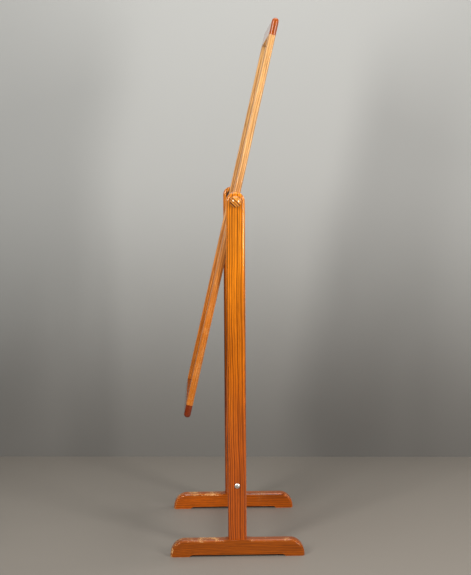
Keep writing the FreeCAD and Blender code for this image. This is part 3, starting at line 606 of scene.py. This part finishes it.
def make_foot(side_name, side, material):
    """The rim follows the upper outline with a chamfer of varying width; flats close the rest."""
    centre, half_thick, _, high = board_box(f"foot_{side_name}")
    reach, top = high.y, high.z
    turn = np.linspace(0, math.pi / 2, 29)
    knuckle = np.stack([np.cos(turn), np.sin(turn)], 1)
    shoulder, brow = reach - FOOT_RADIUS, top - FOOT_RADIUS
    crown = np.linspace(CHAMFER_STOP, CHAMFER_STOP - LIFT_OUT, 15)
    right_half = np.vstack([[reach, 0], knuckle * FOOT_RADIUS + (shoulder, brow),
                            np.stack([crown, np.full_like(crown, top)], 1)])
    facing = np.vstack([[1, 0], knuckle, np.tile([0, 1], (len(crown), 1))])
    path = np.vstack([right_half, right_half[::-1] * (-1, 1)])
    inward = -np.vstack([facing, facing[::-1] * (-1, 1)])
    width = chamfer_width(path[:, 0])
    soft = np.minimum(0.0009, 0.35 * width)[:, None]  # how far each corner is softened
    shape = [np.stack(np.broadcast_arrays(inset, height), 1) for inset, height in (
        (width + 0.004, half_thick), (width, half_thick),  # along the flat face
        (0 * width, half_thick - width), (0 * width, 0.0))]  # down the edge to its middle
    upper = softened_corner(shape[0], shape[1], shape[2], soft)
    lower = softened_corner(shape[1], shape[2], shape[3], soft)
    support = shape[1] + (0.0016, 0)  # one more row on the flat keeps its shading flat
    half_profile = np.concatenate([support[None], upper, lower]).transpose(1, 0, 2)
    profile = np.concatenate([half_profile, half_profile[:, ::-1] * (1, -1)], 1)
    rim = np.empty((*profile.shape[:2], 3))
    rim[..., 0] = centre + side * profile[..., 1]
    rim[..., 1:] = path[:, None] + inward[:, None] * profile[..., :1]
    width = width[:, None]
    worn = np.where((profile[..., 0] < width + 0.0006) & (width > 0.001), 1.0, 0.0)
    middle = (len(path) // 2 - 1, profile.shape[1] // 2 - 1)
    crown_quad = rim[middle[0]:middle[0] + 2, middle[1]:middle[1] + 2].reshape(4, 3)[[0, 2, 3, 1]]
    toe = reach - TOE
    bow = np.linspace(0, math.acos((COVE - RELIEF) / COVE), 7)
    run = COVE * math.sin(bow[-1])
    bow = bow[::-1]
    cove = np.stack([toe - run + COVE * np.sin(bow), RELIEF - COVE * (1 - np.cos(bow))], 1)
    under = np.vstack([[[toe, 0]], cove[1:], cove[:0:-1] * (-1, 1), [[-toe, 0]]])
    outer, inner = (at_x(centre + way * side * half_thick, under) for way in (1, -1))
    half = len(under) // 2
    relief_quad = np.array([outer[half - 1], outer[half], inner[half], inner[half - 1]])
    mortise = [tenon_outline(centre, z)
               for z in (top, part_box(f"post_{side_name}")[0][2] - 0.001)]
    patches = [grid(rim, edge=worn, skip=middle), flat(crown_quad, mortise[0]), wall(*mortise)]
    screw_loops = []
    for spot in (SCREW_SPREAD, -SCREW_SPREAD):
        loops = [circle((centre, spot, z), radius, 32, across=(0, 1)) for radius, z in (
            (SCREW_HEAD, RELIEF), (SCREW_SHANK, RELIEF + SCREW_HEAD - SCREW_SHANK),
            (SCREW_SHANK, mortise[1][0, 2]))]
        patches.append(wall(*loops))
        screw_loops.append(loops)
    patches += [
        flat(mortise[1], *[loops[2] for loops in screw_loops]),
        flat(relief_quad, *[loops[0] for loops in screw_loops]),
        grid(np.stack([outer[:half], inner[:half]])), grid(np.stack([outer[half:], inner[half:]])),
        *[flat(np.vstack([rim[end], [inner[end], outer[end]]])) for end in (0, -1)],
        flat(np.vstack([rim[:, 0], outer[::-1]])),
        flat(np.vstack([rim[:, -1], inner[::-1]])),
    ]
    return make_piece(f"sled_foot_{side_name}", patches, material, "stand",
                      "lacquered_pine", [f"foot_{side_name}"])


# %% Feet: finish and making
FOOT_AMBER = {"right": (162, 78, 3), "left": (194, 92, 4)}
# The feet wear more, and their pale worn chamfers also carry a painted highlight for their broken
# bright edges.
for side_name, side in SIDES:
    finish = board_finish(f"amber_lacquer_foot_{side_name}", FOOT_AMBER[side_name], (118, 48, 0),
                          (side * 0.33, 0.1, -0.075), turn=(90, 0, 2), ring=0.0046,
                          wear=0.8, scratches=0.35, rub_and_sheen=(238, 186, 124), coat=0.45,
                          coat_roughness=0.06)
    make_foot(side_name, side, finish)


# %% [markdown]
# ## Stretcher
#
# The low rail between the posts is a plain bar with its four long edges rounded.  Seen from
# behind it has two holes near its ends, where the steel barrels sit that its bolts screw into.  The
# section is carried along X in a single step, and the strip of skin on the back is left out and
# filled again round the two holes.

# %% Stretcher
def rounded_section(half_y, half_z, radius, steps=6):
    """A rectangle with round corners in the YZ plane, starting on the +Y side below its middle."""
    bend = np.linspace(0, math.pi / 2, steps + 1)
    corners = [(1, 1, 0), (-1, 1, 90), (-1, -1, 180), (1, -1, 270)]
    points = [np.stack([sy * (half_y - radius) + radius * np.cos(bend + math.radians(start)),
                        sz * (half_z - radius) + radius * np.sin(bend + math.radians(start))], 1)
              for sy, sz, start in corners]
    return np.vstack([points[3][-1:], *points[:3], points[3][:-1]])


def make_stretcher(material):
    """The section at both ends, joined by quads, with round bores let into the back strip."""
    low, high = stretcher_low, stretcher_high
    half_y, half_z = (high[1] - low[1]) / 2, (high[2] - low[2]) / 2
    section = rounded_section(half_y, half_z, 0.005)
    bar = np.stack([at_x(x, section + (0, stretcher_level)) for x in (low[0], high[0])])
    back = np.array([bar[0, 0], bar[1, 0], bar[1, 1], bar[0, 1]])
    rims, patches = [], []
    for side_name, side in SIDES:
        nut_low, nut_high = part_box(f"barrel_nut_{side_name}")
        radius = (nut_high[0] - nut_low[0]) / 2
        x = (nut_low[0] + nut_high[0]) / 2
        mouth, floor = (circle((x, y, stretcher_level), radius, 40, across=(0, 2))
                        for y in (half_y, nut_low[1] - 0.0005))
        rims.append(mouth)
        patches += [wall(mouth, floor), flat(floor)]
    patches += [grid(bar, close_columns=True, skip=(0, 0)), flat(back, *rims),
                flat(bar[0]), flat(bar[1])]
    return make_piece("low_stretcher", patches, material, "stand", "lacquered_pine", ["stretcher"])


make_stretcher(board_finish("amber_lacquer_stretcher", (200, 92, 8), (104, 34, 0),
                            (0, 0.03, 0.12), turn=(0, 90, 0), ring=0.0048))


# %% [markdown]
# ## The panel's own frame of reference
#
# Everything on the panel is drawn upright, with the pivot at the origin, and tilted last.  That
# keeps the arithmetic square, exactly as a joiner would make the frame flat on a bench.

# %% Panel frame
TILT = math.radians(13)
LIP = 0.007
REBATE = 0.008
STILE_ROUND = 0.006
RAIL_ROUND = 0.0085
FRAME_EASE = 0.0015
JOINT_EASE = 0.0010
PANEL_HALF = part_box("stile_right")[1][0]
PANEL_THICK = 0.020
RISE, DROP = 0.541, 0.660
TOP_JOINT, BOTTOM_JOINT = RISE - 0.050, 0.038 - DROP
STILE_WIDTH = 0.042
GLASS_REACH = PANEL_HALF - STILE_WIDTH + REBATE


def tilted(points):
    """Turn upright panel points about X by the tilt, and lift them to the pivot."""
    turned = points.copy()
    turned[..., 1] = points[..., 1] * math.cos(TILT) + points[..., 2] * math.sin(TILT)
    turned[..., 2] = points[..., 2] * math.cos(TILT) - points[..., 1] * math.sin(TILT) + pivot.z
    return turned


def make_panel_piece(name, patches, *rest, **options):
    """Make a piece of the panel from upright patches."""
    tipped = [(tilted(points), faces, wear) for points, faces, wear in patches]
    return make_piece(name, tipped, *rest, **options)


# %% [markdown]
# ## Stiles
#
# The two long members of the frame are paler pine.  Their section is an L: the step at the back
# holds the glass.  The outer edges are rounded and the lip beside the glass is just eased.  The
# section is carried along the stile, with a hair of a chamfer at each end so that the joint with
# the dark rail reads as a fine line.

# %% Stiles
def arc(centre, radius, start, stop, steps=7):
    """Points on a circle arc between two angles in degrees."""
    turn = np.radians(np.linspace(start, stop, steps + 1))
    return np.stack([centre[0] + radius * np.cos(turn), centre[1] + radius * np.sin(turn)], 1)


def stile_section(shrink):
    """The L-shaped section in the panel's plan, for the right stile, moved in by shrink."""
    half = PANEL_THICK / 2 - shrink
    outer, inner = PANEL_HALF - shrink, PANEL_HALF - STILE_WIDTH + shrink
    radius, ease = STILE_ROUND - shrink, FRAME_EASE - shrink
    step = LIP - PANEL_THICK / 2 - shrink
    return np.vstack([
        arc((outer - radius, radius - half), radius, -90, 0),
        arc((outer - radius, half - radius), radius, 0, 90),
        [[outer - radius - 0.001, half], [GLASS_REACH + shrink, half], [GLASS_REACH + shrink, step],
         [inner, step]],
        arc((inner + ease, ease - half), ease, 180, 270, 4),
        [[outer - radius - 0.001, -half]],
    ])


def make_stile(side_name, side, material):
    """The section at four heights: a small chamfer at each end and a straight run between."""
    heights = (BOTTOM_JOINT, BOTTOM_JOINT + JOINT_EASE, TOP_JOINT - JOINT_EASE, TOP_JOINT)
    shrinks = (JOINT_EASE, 0, 0, JOINT_EASE)
    sections = [stile_section(shrink) for shrink in shrinks]
    skin = np.stack([np.column_stack([section, np.full(len(section), height)])
                     for section, height in zip(sections, heights)])
    skin[..., 0] *= side
    worn = np.where(np.arange(skin.shape[1]) < 16, 1.0, 0.0)  # the two rounded outer corners
    return make_panel_piece(f"pale_stile_{side_name}", bar_patches(skin, worn), material, "panel",
                            "pale_pine", [f"stile_{side_name}"])


# The stiles' upper half turns cream: partly daylight fading, partly a painted sheen from the high
# lamps.
for side_name, side in SIDES:
    finish = board_finish(f"pale_lacquer_stile_{side_name}", (216, 124, 38), (140, 62, 8),
                          (side * 0.26, -0.075, pivot.z), turn=(-13, 0.3, 0), ring=0.006,
                          strength=0.6, wear=0.12, rub_and_sheen=(250, 210, 150), faded_and_top_lit=(234, 178, 112),
                          fade_and_light_low=0.8, fade_and_light_high=1.45)
    make_stile(side_name, side, finish)


# %% [markdown]
# ## Dark rails
#
# The top and bottom rails are a dark, glossy hardwood.  They run across the whole frame, over the
# ends of the stiles, and their free edges are half round like a finger.  Where the round edge
# meets the end of the rail it is rounded once more.  The section is therefore a bullet whose
# outline moves inward near each end: by d = r - r cos(a) at a distance r - r sin(a) from the end.
# The step that holds the glass stops inside the rail, so it is switched on only in the middle.

# %% Rails
def rail_section(joint, edge, outward, shrink, step_depth):
    """A bullet: two straight sides, a half circle and, when step_depth is not 0, the rebate."""
    half = PANEL_THICK / 2 - shrink
    centre = edge - outward * PANEL_THICK / 2
    bend = np.linspace(math.pi, 0, 25)
    nose = np.stack([half * np.cos(bend), centre + outward * half * np.sin(bend)], 1)
    near_nose = centre - outward * 0.001
    step = LIP - PANEL_THICK / 2
    level = joint + outward * step_depth
    return np.vstack([[[-half, joint], [-half, near_nose]], nose,
                      [[half, near_nose], [half, level], [step, level], [step, joint]]])


def make_rail(name, joint, edge, outward, material, stands_for):
    """Sections along X: rounded end, plain part, rebated middle, plain part, rounded end."""
    bend = np.linspace(0, math.pi / 2, 9)
    along = PANEL_HALF - RAIL_ROUND * (1 - np.sin(bend))
    shrink = RAIL_ROUND * (1 - np.cos(bend))
    places = np.concatenate([[GLASS_REACH, GLASS_REACH, along[0] - 0.001], along, [PANEL_HALF]])
    shrinks = np.concatenate([[0, 0, 0], shrink, [RAIL_ROUND + 0.0006]])
    steps = np.concatenate([[REBATE], np.zeros(len(places) - 1)])
    half = np.stack([at_x(place, rail_section(joint, edge, outward, inset, step))
                     for place, inset, step in zip(places, shrinks, steps)])
    skin = np.concatenate([half[::-1] * (-1, 1, 1), half])
    worn = np.where(np.abs(skin[..., 0]) > PANEL_HALF - RAIL_ROUND, 1.0, 0.2)
    return make_panel_piece(name, bar_patches(skin, worn), material, "panel", "dark_hardwood",
                            [stands_for])


# The bottom rail's darker colours are painted shade: the same dark wood as the top rail, shown as
# it looks in shade.
for name, joint, edge, outward, stands_for, early, late in (
        ("dark_top_rail", TOP_JOINT, RISE, 1, "top_rail", (174, 80, 8), (84, 26, 0)),
        ("dark_bottom_rail", BOTTOM_JOINT, -DROP, -1, "bottom_rail", (132, 46, 4), (60, 15, 0))):
    finish = board_finish(f"dark_lacquer_{name}", early, late, (0, 0.02, pivot.z + edge * 1.1),
                          turn=(0, 90, 0), ring=0.0032, wander=0.012, strength=0.7, wear=0.1,
                          scratches=0.1, roughness=0.3, coat=0.8, coat_roughness=0.06)
    make_rail(name, joint, edge, outward, finish, stands_for)


# %% [markdown]
# ## Mirror and back board
#
# The mirror is float glass with silver on its back and a ground edge.  What the eye sees is the
# silver, so its metal carries the colour, and a clear coat stands for the glass in front.  Behind
# it lies hardboard: smooth brown fibre with the print of the wire screen that it was pressed on.

# %% Sheets in the rebate
def make_sheet(name, stands_for, front, back, arris, material, slot):
    """A rectangle whose four edges carry a small arris, from one face to the other."""
    x, bottom, top = GLASS_REACH - 0.001, BOTTOM_JOINT - 0.007, TOP_JOINT + 0.007
    loops = [np.array([[sx * (x - inset), y, z + sz * inset] for sx, z, sz in
                       ((-1, bottom, 1), (1, bottom, 1), (1, top, -1), (-1, top, -1))])
             for inset, y in ((arris, front), (0, front + arris), (0, back - arris), (arris, back))]
    patches = [wall(*loops), flat(loops[0]), flat(loops[-1])]
    return make_panel_piece(name, patches, material, "panel", slot, [stands_for],
                            sharp=math.radians(20))


def silver_finish():
    """Bright silver under glass, with a breath of haze."""
    material, tree, shader, place = new_material("silvered_glass")
    haze = noise(tree, place, 7.0, 4.0)
    feed(tree, shader, {
        "Base Color": blend_colours(tree, haze, linear(236, 240, 238), linear(226, 233, 231)),
        "Roughness": ramp_between(tree, haze, 0.3, 0.8, 0.015, 0.04),
        "Metallic": 1.0, "Coat Weight": 0.3})
    return material


def hardboard_finish():
    """Pressed wood fibre: brown felted noise and the squares of a wire screen."""
    material, tree, shader, place = new_material("screened_hardboard")
    fluff = noise(tree, place, 900.0, 3.0)
    patchy = noise(tree, place, 12.0, 4.0)
    colour = blend_colours(tree, patchy, linear(136, 96, 62), linear(112, 76, 47))
    colour = blend_colours(tree, ramp_between(tree, fluff, 0.45, 0.75, 0.0, 0.5), colour,
                           linear(164, 124, 84))
    parts = put(tree, "ShaderNodeSeparateXYZ", {0: place}).outputs
    wire_spacing = 0.0016
    waves = [reckon(tree, "SINE", times(tree, part, 2 * math.pi / wire_spacing))
             for part in (parts[0], parts[2])]
    screen = reckon(tree, "MULTIPLY_ADD", reckon(tree, "MAXIMUM", *waves), 0.5,
                    times(tree, fluff, 0.6))
    feed(tree, shader, {"Base Color": colour, "Roughness": 0.8,
                        "Normal": bump(tree, screen, 0.6, 0.0002)})
    return material


glass_front = LIP - PANEL_THICK / 2
glass_back = glass_front + 0.004
board_back = glass_back + 0.003
make_sheet("mirror_pane", "mirror_glass", glass_front, glass_back, 0.0006, silver_finish(),
           "silvered_mirror")
make_sheet("hardboard_back", "back_board", glass_back, board_back, 0.0003, hardboard_finish(),
           "hardboard")


# %% [markdown]
# ## Turned and threaded pieces
#
# Knobs, washers and spacers are all profiles spun about the pivot axis.  One lathe does them: a
# list of (distance along X, radius) pairs is turned through a full circle, and a point at radius
# zero closes the end.  The stud is the same idea with the thread added, a ridge whose place round
# the stud moves forward by one pitch in each turn.

# %% Lathe
def span_outward(node_name, side):
    """Where a node begins and ends along X, counted outward from the middle of the stand."""
    low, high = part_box(node_name)
    return (low[0], high[0]) if side > 0 else (high[0], low[0])


def spun(x, radius, turn, level):
    """Points (x, r cos t, level + r sin t) for arrays of x and r and a row of angles t."""
    y, z = radius * np.cos(turn), radius * np.sin(turn) + level
    return np.stack(np.broadcast_arrays(x, y, z), -1)


def spin(profile, start, side):
    """A profile turned about the pivot axis, with its own zero at start."""
    x, radius = np.asarray(profile).T[..., None]
    return grid(spun(start + side * x, radius, full_turn(64), pivot.z), close_columns=True)


def ring_profile(bore, outer, thickness, ease):
    """A flat ring with eased outer edges, from its bore round to its bore again."""
    return [(0, bore), (0, outer - ease), (ease, outer), (thickness - ease, outer),
            (thickness, outer - ease), (thickness, bore), (0, bore)]


# %% Knobs
KNOB_RADIUS = 0.017
NECK_RADIUS, NECK_LENGTH, BELLY = 0.012, 0.003, 0.014
CORNER_RADIUS, DOME_RADIUS, FLANK_RADIUS = 0.009, 0.024, 0.0146
STUD_RADIUS, STUD_GRIP = 0.004, 0.016


def knob_profile():
    """Neck, swelling flank, tight shoulder and low dome, each arc meeting the next smoothly."""
    shoulder, step = KNOB_RADIUS - CORNER_RADIUS, DOME_RADIUS - CORNER_RADIUS
    dome_centre = BELLY - math.sqrt(step ** 2 - shoulder ** 2)
    lean = math.degrees(math.atan2(shoulder, BELLY - dome_centre))
    flank_start = 180 - math.degrees(math.acos((BELLY - NECK_LENGTH) / FLANK_RADIUS))
    return np.vstack([
        [[STUD_GRIP, 0], [STUD_GRIP, STUD_RADIUS], [0, STUD_RADIUS], [0, NECK_RADIUS - 0.0006],
         [0.0002, NECK_RADIUS - 0.0002], [0.0006, NECK_RADIUS]],
        arc((BELLY, KNOB_RADIUS - FLANK_RADIUS), FLANK_RADIUS, flank_start, 90, 12),
        arc((BELLY, shoulder), CORNER_RADIUS, 90, lean, 12)[1:],
        arc((dome_centre, 0), DOME_RADIUS, lean, 0, 14)[1:],
    ])


def threaded_stud(side_name, side, material):
    """r = R - depth |2 fract(x / pitch - t / 2 pi) - 1| ^ 1.4, fading to a plain chamfered tip."""
    start, end = span_outward(f"knob_stud_{side_name}", side)
    pitch, depth, tip_length, tip_cut = 0.00125, 0.0006, 0.001, 0.0008
    x = np.linspace(0, abs(end - start), 280)[:, None]
    turn = full_turn(24)
    phase = np.mod(x / pitch - side * turn / (2 * math.pi), 1)
    radius = STUD_RADIUS - depth * np.abs(2 * phase - 1) ** 1.4
    tip = np.clip(x / tip_length, 0, 1)
    radius = np.minimum(radius, STUD_RADIUS - tip_cut * (1 - tip))
    points = spun(start + side * x, radius, turn, pivot.z)
    return make_piece(f"threaded_stud_{side_name}", bar_patches(points), material,
                      f"{side_name}_knob", "zinc_steel", [f"knob_stud_{side_name}"])


# %% [markdown]
# ## Metal and leather
#
# Steel hardware is turned or rolled, so its shine is broken by fine lines round it and by a film of
# grime.  The leather rings between post and frame are dark, dry and pebbled.

# %% Finishes for hardware
def metal_finish(name, bright, dark, roughness, grime=0.4):
    """Plated metal: fine noise in colour and gloss, duller where grime has settled."""
    material, tree, shader, place = new_material(name)
    mask = ramp_between(tree, noise(tree, place, 220.0, 4.0), 0.35, 0.75, 0.0, grime)
    fine = stretched_noise(tree, place, (9000.0, 700.0, 700.0), detail=2.0)
    gloss = reckon(tree, "MULTIPLY_ADD", fine, 0.12, roughness - 0.06)
    feed(tree, shader, {
        "Base Color": blend_colours(tree, mask, linear(*bright), linear(*dark)),
        "Roughness": reckon(tree, "MULTIPLY_ADD", mask, 0.3, gloss),
        "Metallic": 1.0, "Normal": bump(tree, fine, 0.25, 0.00003)})
    return material


def leather_finish():
    """Dark leather: cells for the pebbles, noise for the worn tone."""
    material, tree, shader, place = new_material("dark_leather_ring")
    cells = put(tree, "ShaderNodeTexVoronoi", {"Vector": place, "Scale": 900.0}).outputs["Distance"]
    tone = noise(tree, place, 90.0, 3.0)
    feed(tree, shader, {
        "Base Color": blend_colours(tree, tone, linear(46, 28, 18), linear(74, 46, 28)),
        "Roughness": ramp_between(tree, tone, 0.3, 0.7, 0.5, 0.7),
        "Normal": bump(tree, cells, 0.5, 0.0002)})
    return material


zinc = metal_finish("zinc_plate", (196, 198, 200), (104, 102, 98), 0.38)
nickel = metal_finish("nickel_plate", (232, 230, 224), (130, 122, 110), 0.36, 0.2)
brass = metal_finish("brass_thread", (206, 166, 88), (116, 84, 40), 0.34)
leather = leather_finish()
WASHER_BORE = 0.0043
for side_name, side in SIDES:
    base = span_outward(f"knob_{side_name}", side)[0]
    turned = board_finish(f"turned_lacquer_knob_{side_name}", (246, 160, 60), (98, 30, 2),
                          (0, -0.085, pivot.z - 0.085), turn=(0, 90, 0), ring=0.0072, wander=0.004,
                          strength=1.0, sharpness=0.2, wear=0.1, scratches=0.1, coat=0.9,
                          coat_roughness=0.05)
    make_piece(f"turned_knob_{side_name}", [spin(knob_profile(), base, side)], turned,
               f"{side_name}_knob", "turned_pine", [f"knob_{side_name}"])
    threaded_stud(side_name, side, zinc)
    for piece, node, body, bore, ease, finish, slot in (
            ("steel_washer", "knob_washer", f"{side_name}_clamp", WASHER_BORE, 0.0002, zinc,
             "zinc_steel"),
            ("leather_spacer", "pivot_spacer", "panel", PIVOT_BORE, 0.0005, leather,
             "dark_leather")):
        node_name = f"{node}_{side_name}"
        start, end = span_outward(node_name, side)
        profile = ring_profile(bore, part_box(node_name)[1][1], abs(end - start), ease)
        make_piece(f"{piece}_{side_name}", [spin(profile, start, side)], finish, body, slot,
                   [node_name])


# %% [markdown]
# ## Furniture bolts
#
# The bolt that draws post and stretcher together ends in a low nickel dome with a cross recess.
# The recess is part of the same surface: the dome's height drops where the point lies inside a
# cross, over a soft step, so that the recess has walls and a floor and catches a dark shadow.

# %% Furniture bolts
def make_bolt(side_name, side, material):
    """A polar grid for the head, h(r, t) = dome - depth * inside(cross), then rim and shank."""
    node_name = f"stretcher_bolt_{side_name}"
    (start, tip), (low, high) = span_outward(node_name, side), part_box(node_name)
    radius, shank, head_height, dome = (high[1] - low[1]) / 2, 0.003, 0.0034, 0.014
    turn = full_turn(96)
    recessed = np.linspace(0, radius * 0.62, 34)  # close rings where the cross is cut
    ring = np.concatenate([recessed, np.linspace(radius * 0.66, radius, 9)])[:, None]
    fall = dome - np.sqrt(dome ** 2 - ring ** 2)
    bar, span, blur, depth = 0.00085, 0.0035, 0.00018, 0.0020

    def inside(across, along):
        """One inside a slot and zero outside it, with a soft step at its walls."""
        width = bar * (1 - 0.35 * np.abs(along) / span)
        near = np.minimum(width - np.abs(across), span - np.abs(along))
        return np.clip(near / blur + 0.5, 0, 1)

    y, z = ring * np.cos(turn), ring * np.sin(turn)
    sink = depth * np.maximum(inside(y, z), inside(z, y))
    under = tip - side * head_height
    stem_x, stem_radius = np.array([[under, radius], [under, shank], [start, shank], [start, 0]]).T
    points = np.concatenate([
        spun(tip - side * (fall + sink), ring, turn, stretcher_level),
        spun(stem_x[:, None], stem_radius[:, None], turn, stretcher_level)])
    return make_piece(f"furniture_bolt_{side_name}", [grid(points, close_columns=True)], material,
                      "stand", "nickel_bolt", [node_name])


for side_name, side in SIDES:
    make_bolt(side_name, side, nickel)


# %% [markdown]
# ## What stays as it was packed
#
# Dowels, inserts, barrel nuts, screws and brads are already the right shape and are hidden or tiny,
# so they only get a better finish.  Beech dowels use the same growth rings as the boards, with
# rings so narrow that they read as a fine even grain.

# %% Finish the kept nodes
def beech_finish(name, pith, turn):
    """Bare beech: narrow, even rings and no lacquer."""
    return board_finish(name, (214, 172, 122), (190, 144, 96), pith, turn=turn, ring=0.002,
                        strength=0.4, wear=0, scratches=0, coat=0.0, roughness=0.6)


beech_across = beech_finish("beech_across", (0, 0.05, 0.1), (0, 90, 0))
beech_upright = beech_finish("beech_upright", (0.1, 0.05, 0), (-13, 0, 0))
kept = {
    "stretcher_dowels": beech_across, "top_dowels": beech_upright, "bottom_dowels": beech_upright,
    "threaded_insert": brass, "barrel_nut": zinc, "foot_screws": zinc, "glazing_brads": zinc,
}
for node_name, node in frame["nodes"].items():
    for start, finish in kept.items():
        if node_name.startswith(start):
            for slot in node.material_slots:
                slot.material = finish
            print("finished", node_name, "in", finish.name)


# %% [markdown]
# ## Studio
#
# The floor is a pale warm sheet.  Behind the object hangs a grey sheet at a slight slant, whose
# colour is painted paler towards the top: painted light for the lamps overhead.  It is clear when
# it is seen from its back, so that it never hides the object from the other side.  Two tall soft
# boxes stand left and right of the camera, and their long upright highlights follow every rounded
# edge.  A broad box overhead lights the tops, one behind lights the far side, and a weak sky fills
# the shadows.

# %% Floor and backdrop
def sheet_object(name, corners, material):
    """One quad of studio paper."""
    mesh = bpy.data.meshes.new(name)
    mesh.from_pydata(corners, [], [(0, 1, 2, 3)])
    mesh.materials.append(material)
    add_object(name, mesh)


def paper_finish(name, first, second, roughness, clear_behind=False):
    """Paper going from the first tone at the floor to the second overhead; the paler top is painted
    light.
    """
    material, tree, shader, place = new_material(name)
    height = put(tree, "ShaderNodeSeparateXYZ", {0: place}).outputs[2]
    height = reckon(tree, "MULTIPLY_ADD", noise(tree, place, 2.5, 4.0), 0.1, height)
    # Paler with height: painted light, standing for the lamps overhead lighting the upper backdrop
    # more.
    rise = ramp_between(tree, height, 0.05, 1.2)
    feed(tree, shader, {"Base Color": blend_colours(tree, rise, linear(*first), linear(*second)),
                        "Roughness": roughness, "Specular IOR Level": 0.3})
    if clear_behind:
        behind = put(tree, "ShaderNodeNewGeometry").outputs["Backfacing"]
        see_through = tree.nodes.new("ShaderNodeBsdfTransparent").outputs[0]
        both = put(tree, "ShaderNodeMixShader", {0: behind, 1: shader.outputs[0], 2: see_through})
        output = next(node for node in tree.nodes if node.type == "OUTPUT_MATERIAL")
        tree.links.new(both.outputs[0], output.inputs["Surface"])
    return material


FAR = 12.0
sheet_object("floor", [(-FAR, -FAR, 0), (FAR, -FAR, 0), (FAR, FAR, 0), (-FAR, FAR, 0)],
             paper_finish("floor_paper", (136, 130, 122), (180, 172, 160), 0.55))
LEFT_X, RIGHT_X, SPREAD, TALL = -1.10, -0.86, 2.2, 2.6
# The backdrop's paler top is painted light.
sheet_object("backdrop", [(LEFT_X, -SPREAD, 0), (RIGHT_X, SPREAD, 0), (RIGHT_X, SPREAD, TALL),
                          (LEFT_X, -SPREAD, TALL)],
             paper_finish("grey_paper", (120, 118, 114), (178, 179, 177), 0.8, clear_behind=True))
print("studio: a floor and a backdrop")


# %% Soft boxes and sky
def soft_box(name, place, aim, width, height, power, colour):
    """A rectangular area light at a place, turned to face a point."""
    data = bpy.data.lights.new(name, "AREA")
    data.shape = "RECTANGLE"
    data.size, data.size_y, data.energy, data.color = width, height, power, colour
    lamp = add_object(name, data)
    lamp.location = place
    lamp.rotation_euler = (Vector(aim) - Vector(place)).to_track_quat("-Z", "Y").to_euler()


for box in (("soft_box_left", (2.3, -1.5, 1.75), (0, 0, 1.0), 0.5, 1.3, 48, (1, 0.97, 0.93)),
            ("soft_box_right", (2.1, 1.7, 1.3), (0, 0, 1.0), 0.5, 1.3, 46, (1, 0.97, 0.93)),
            ("top_box", (0.5, 0, 2.85), (-0.4, 0, 0.6), 1.8, 1.0, 34, (1, 0.99, 0.97)),
            ("back_box", (-0.6, 3.2, 2.2), (0, 0, 0.8), 1.2, 1.2, 40, (1, 0.98, 0.95))):
    soft_box(*box)
    print("light:", box[0], box[5], "W")
world = bpy.data.worlds.new("studio_sky")
world.use_nodes = True
feed(world.node_tree, world.node_tree.nodes["Background"],
     {"Color": (0.82, 0.85, 0.9, 1), "Strength": 0.14})
bpy.context.scene.world = world
bpy.context.scene.view_settings.view_transform = "Standard"
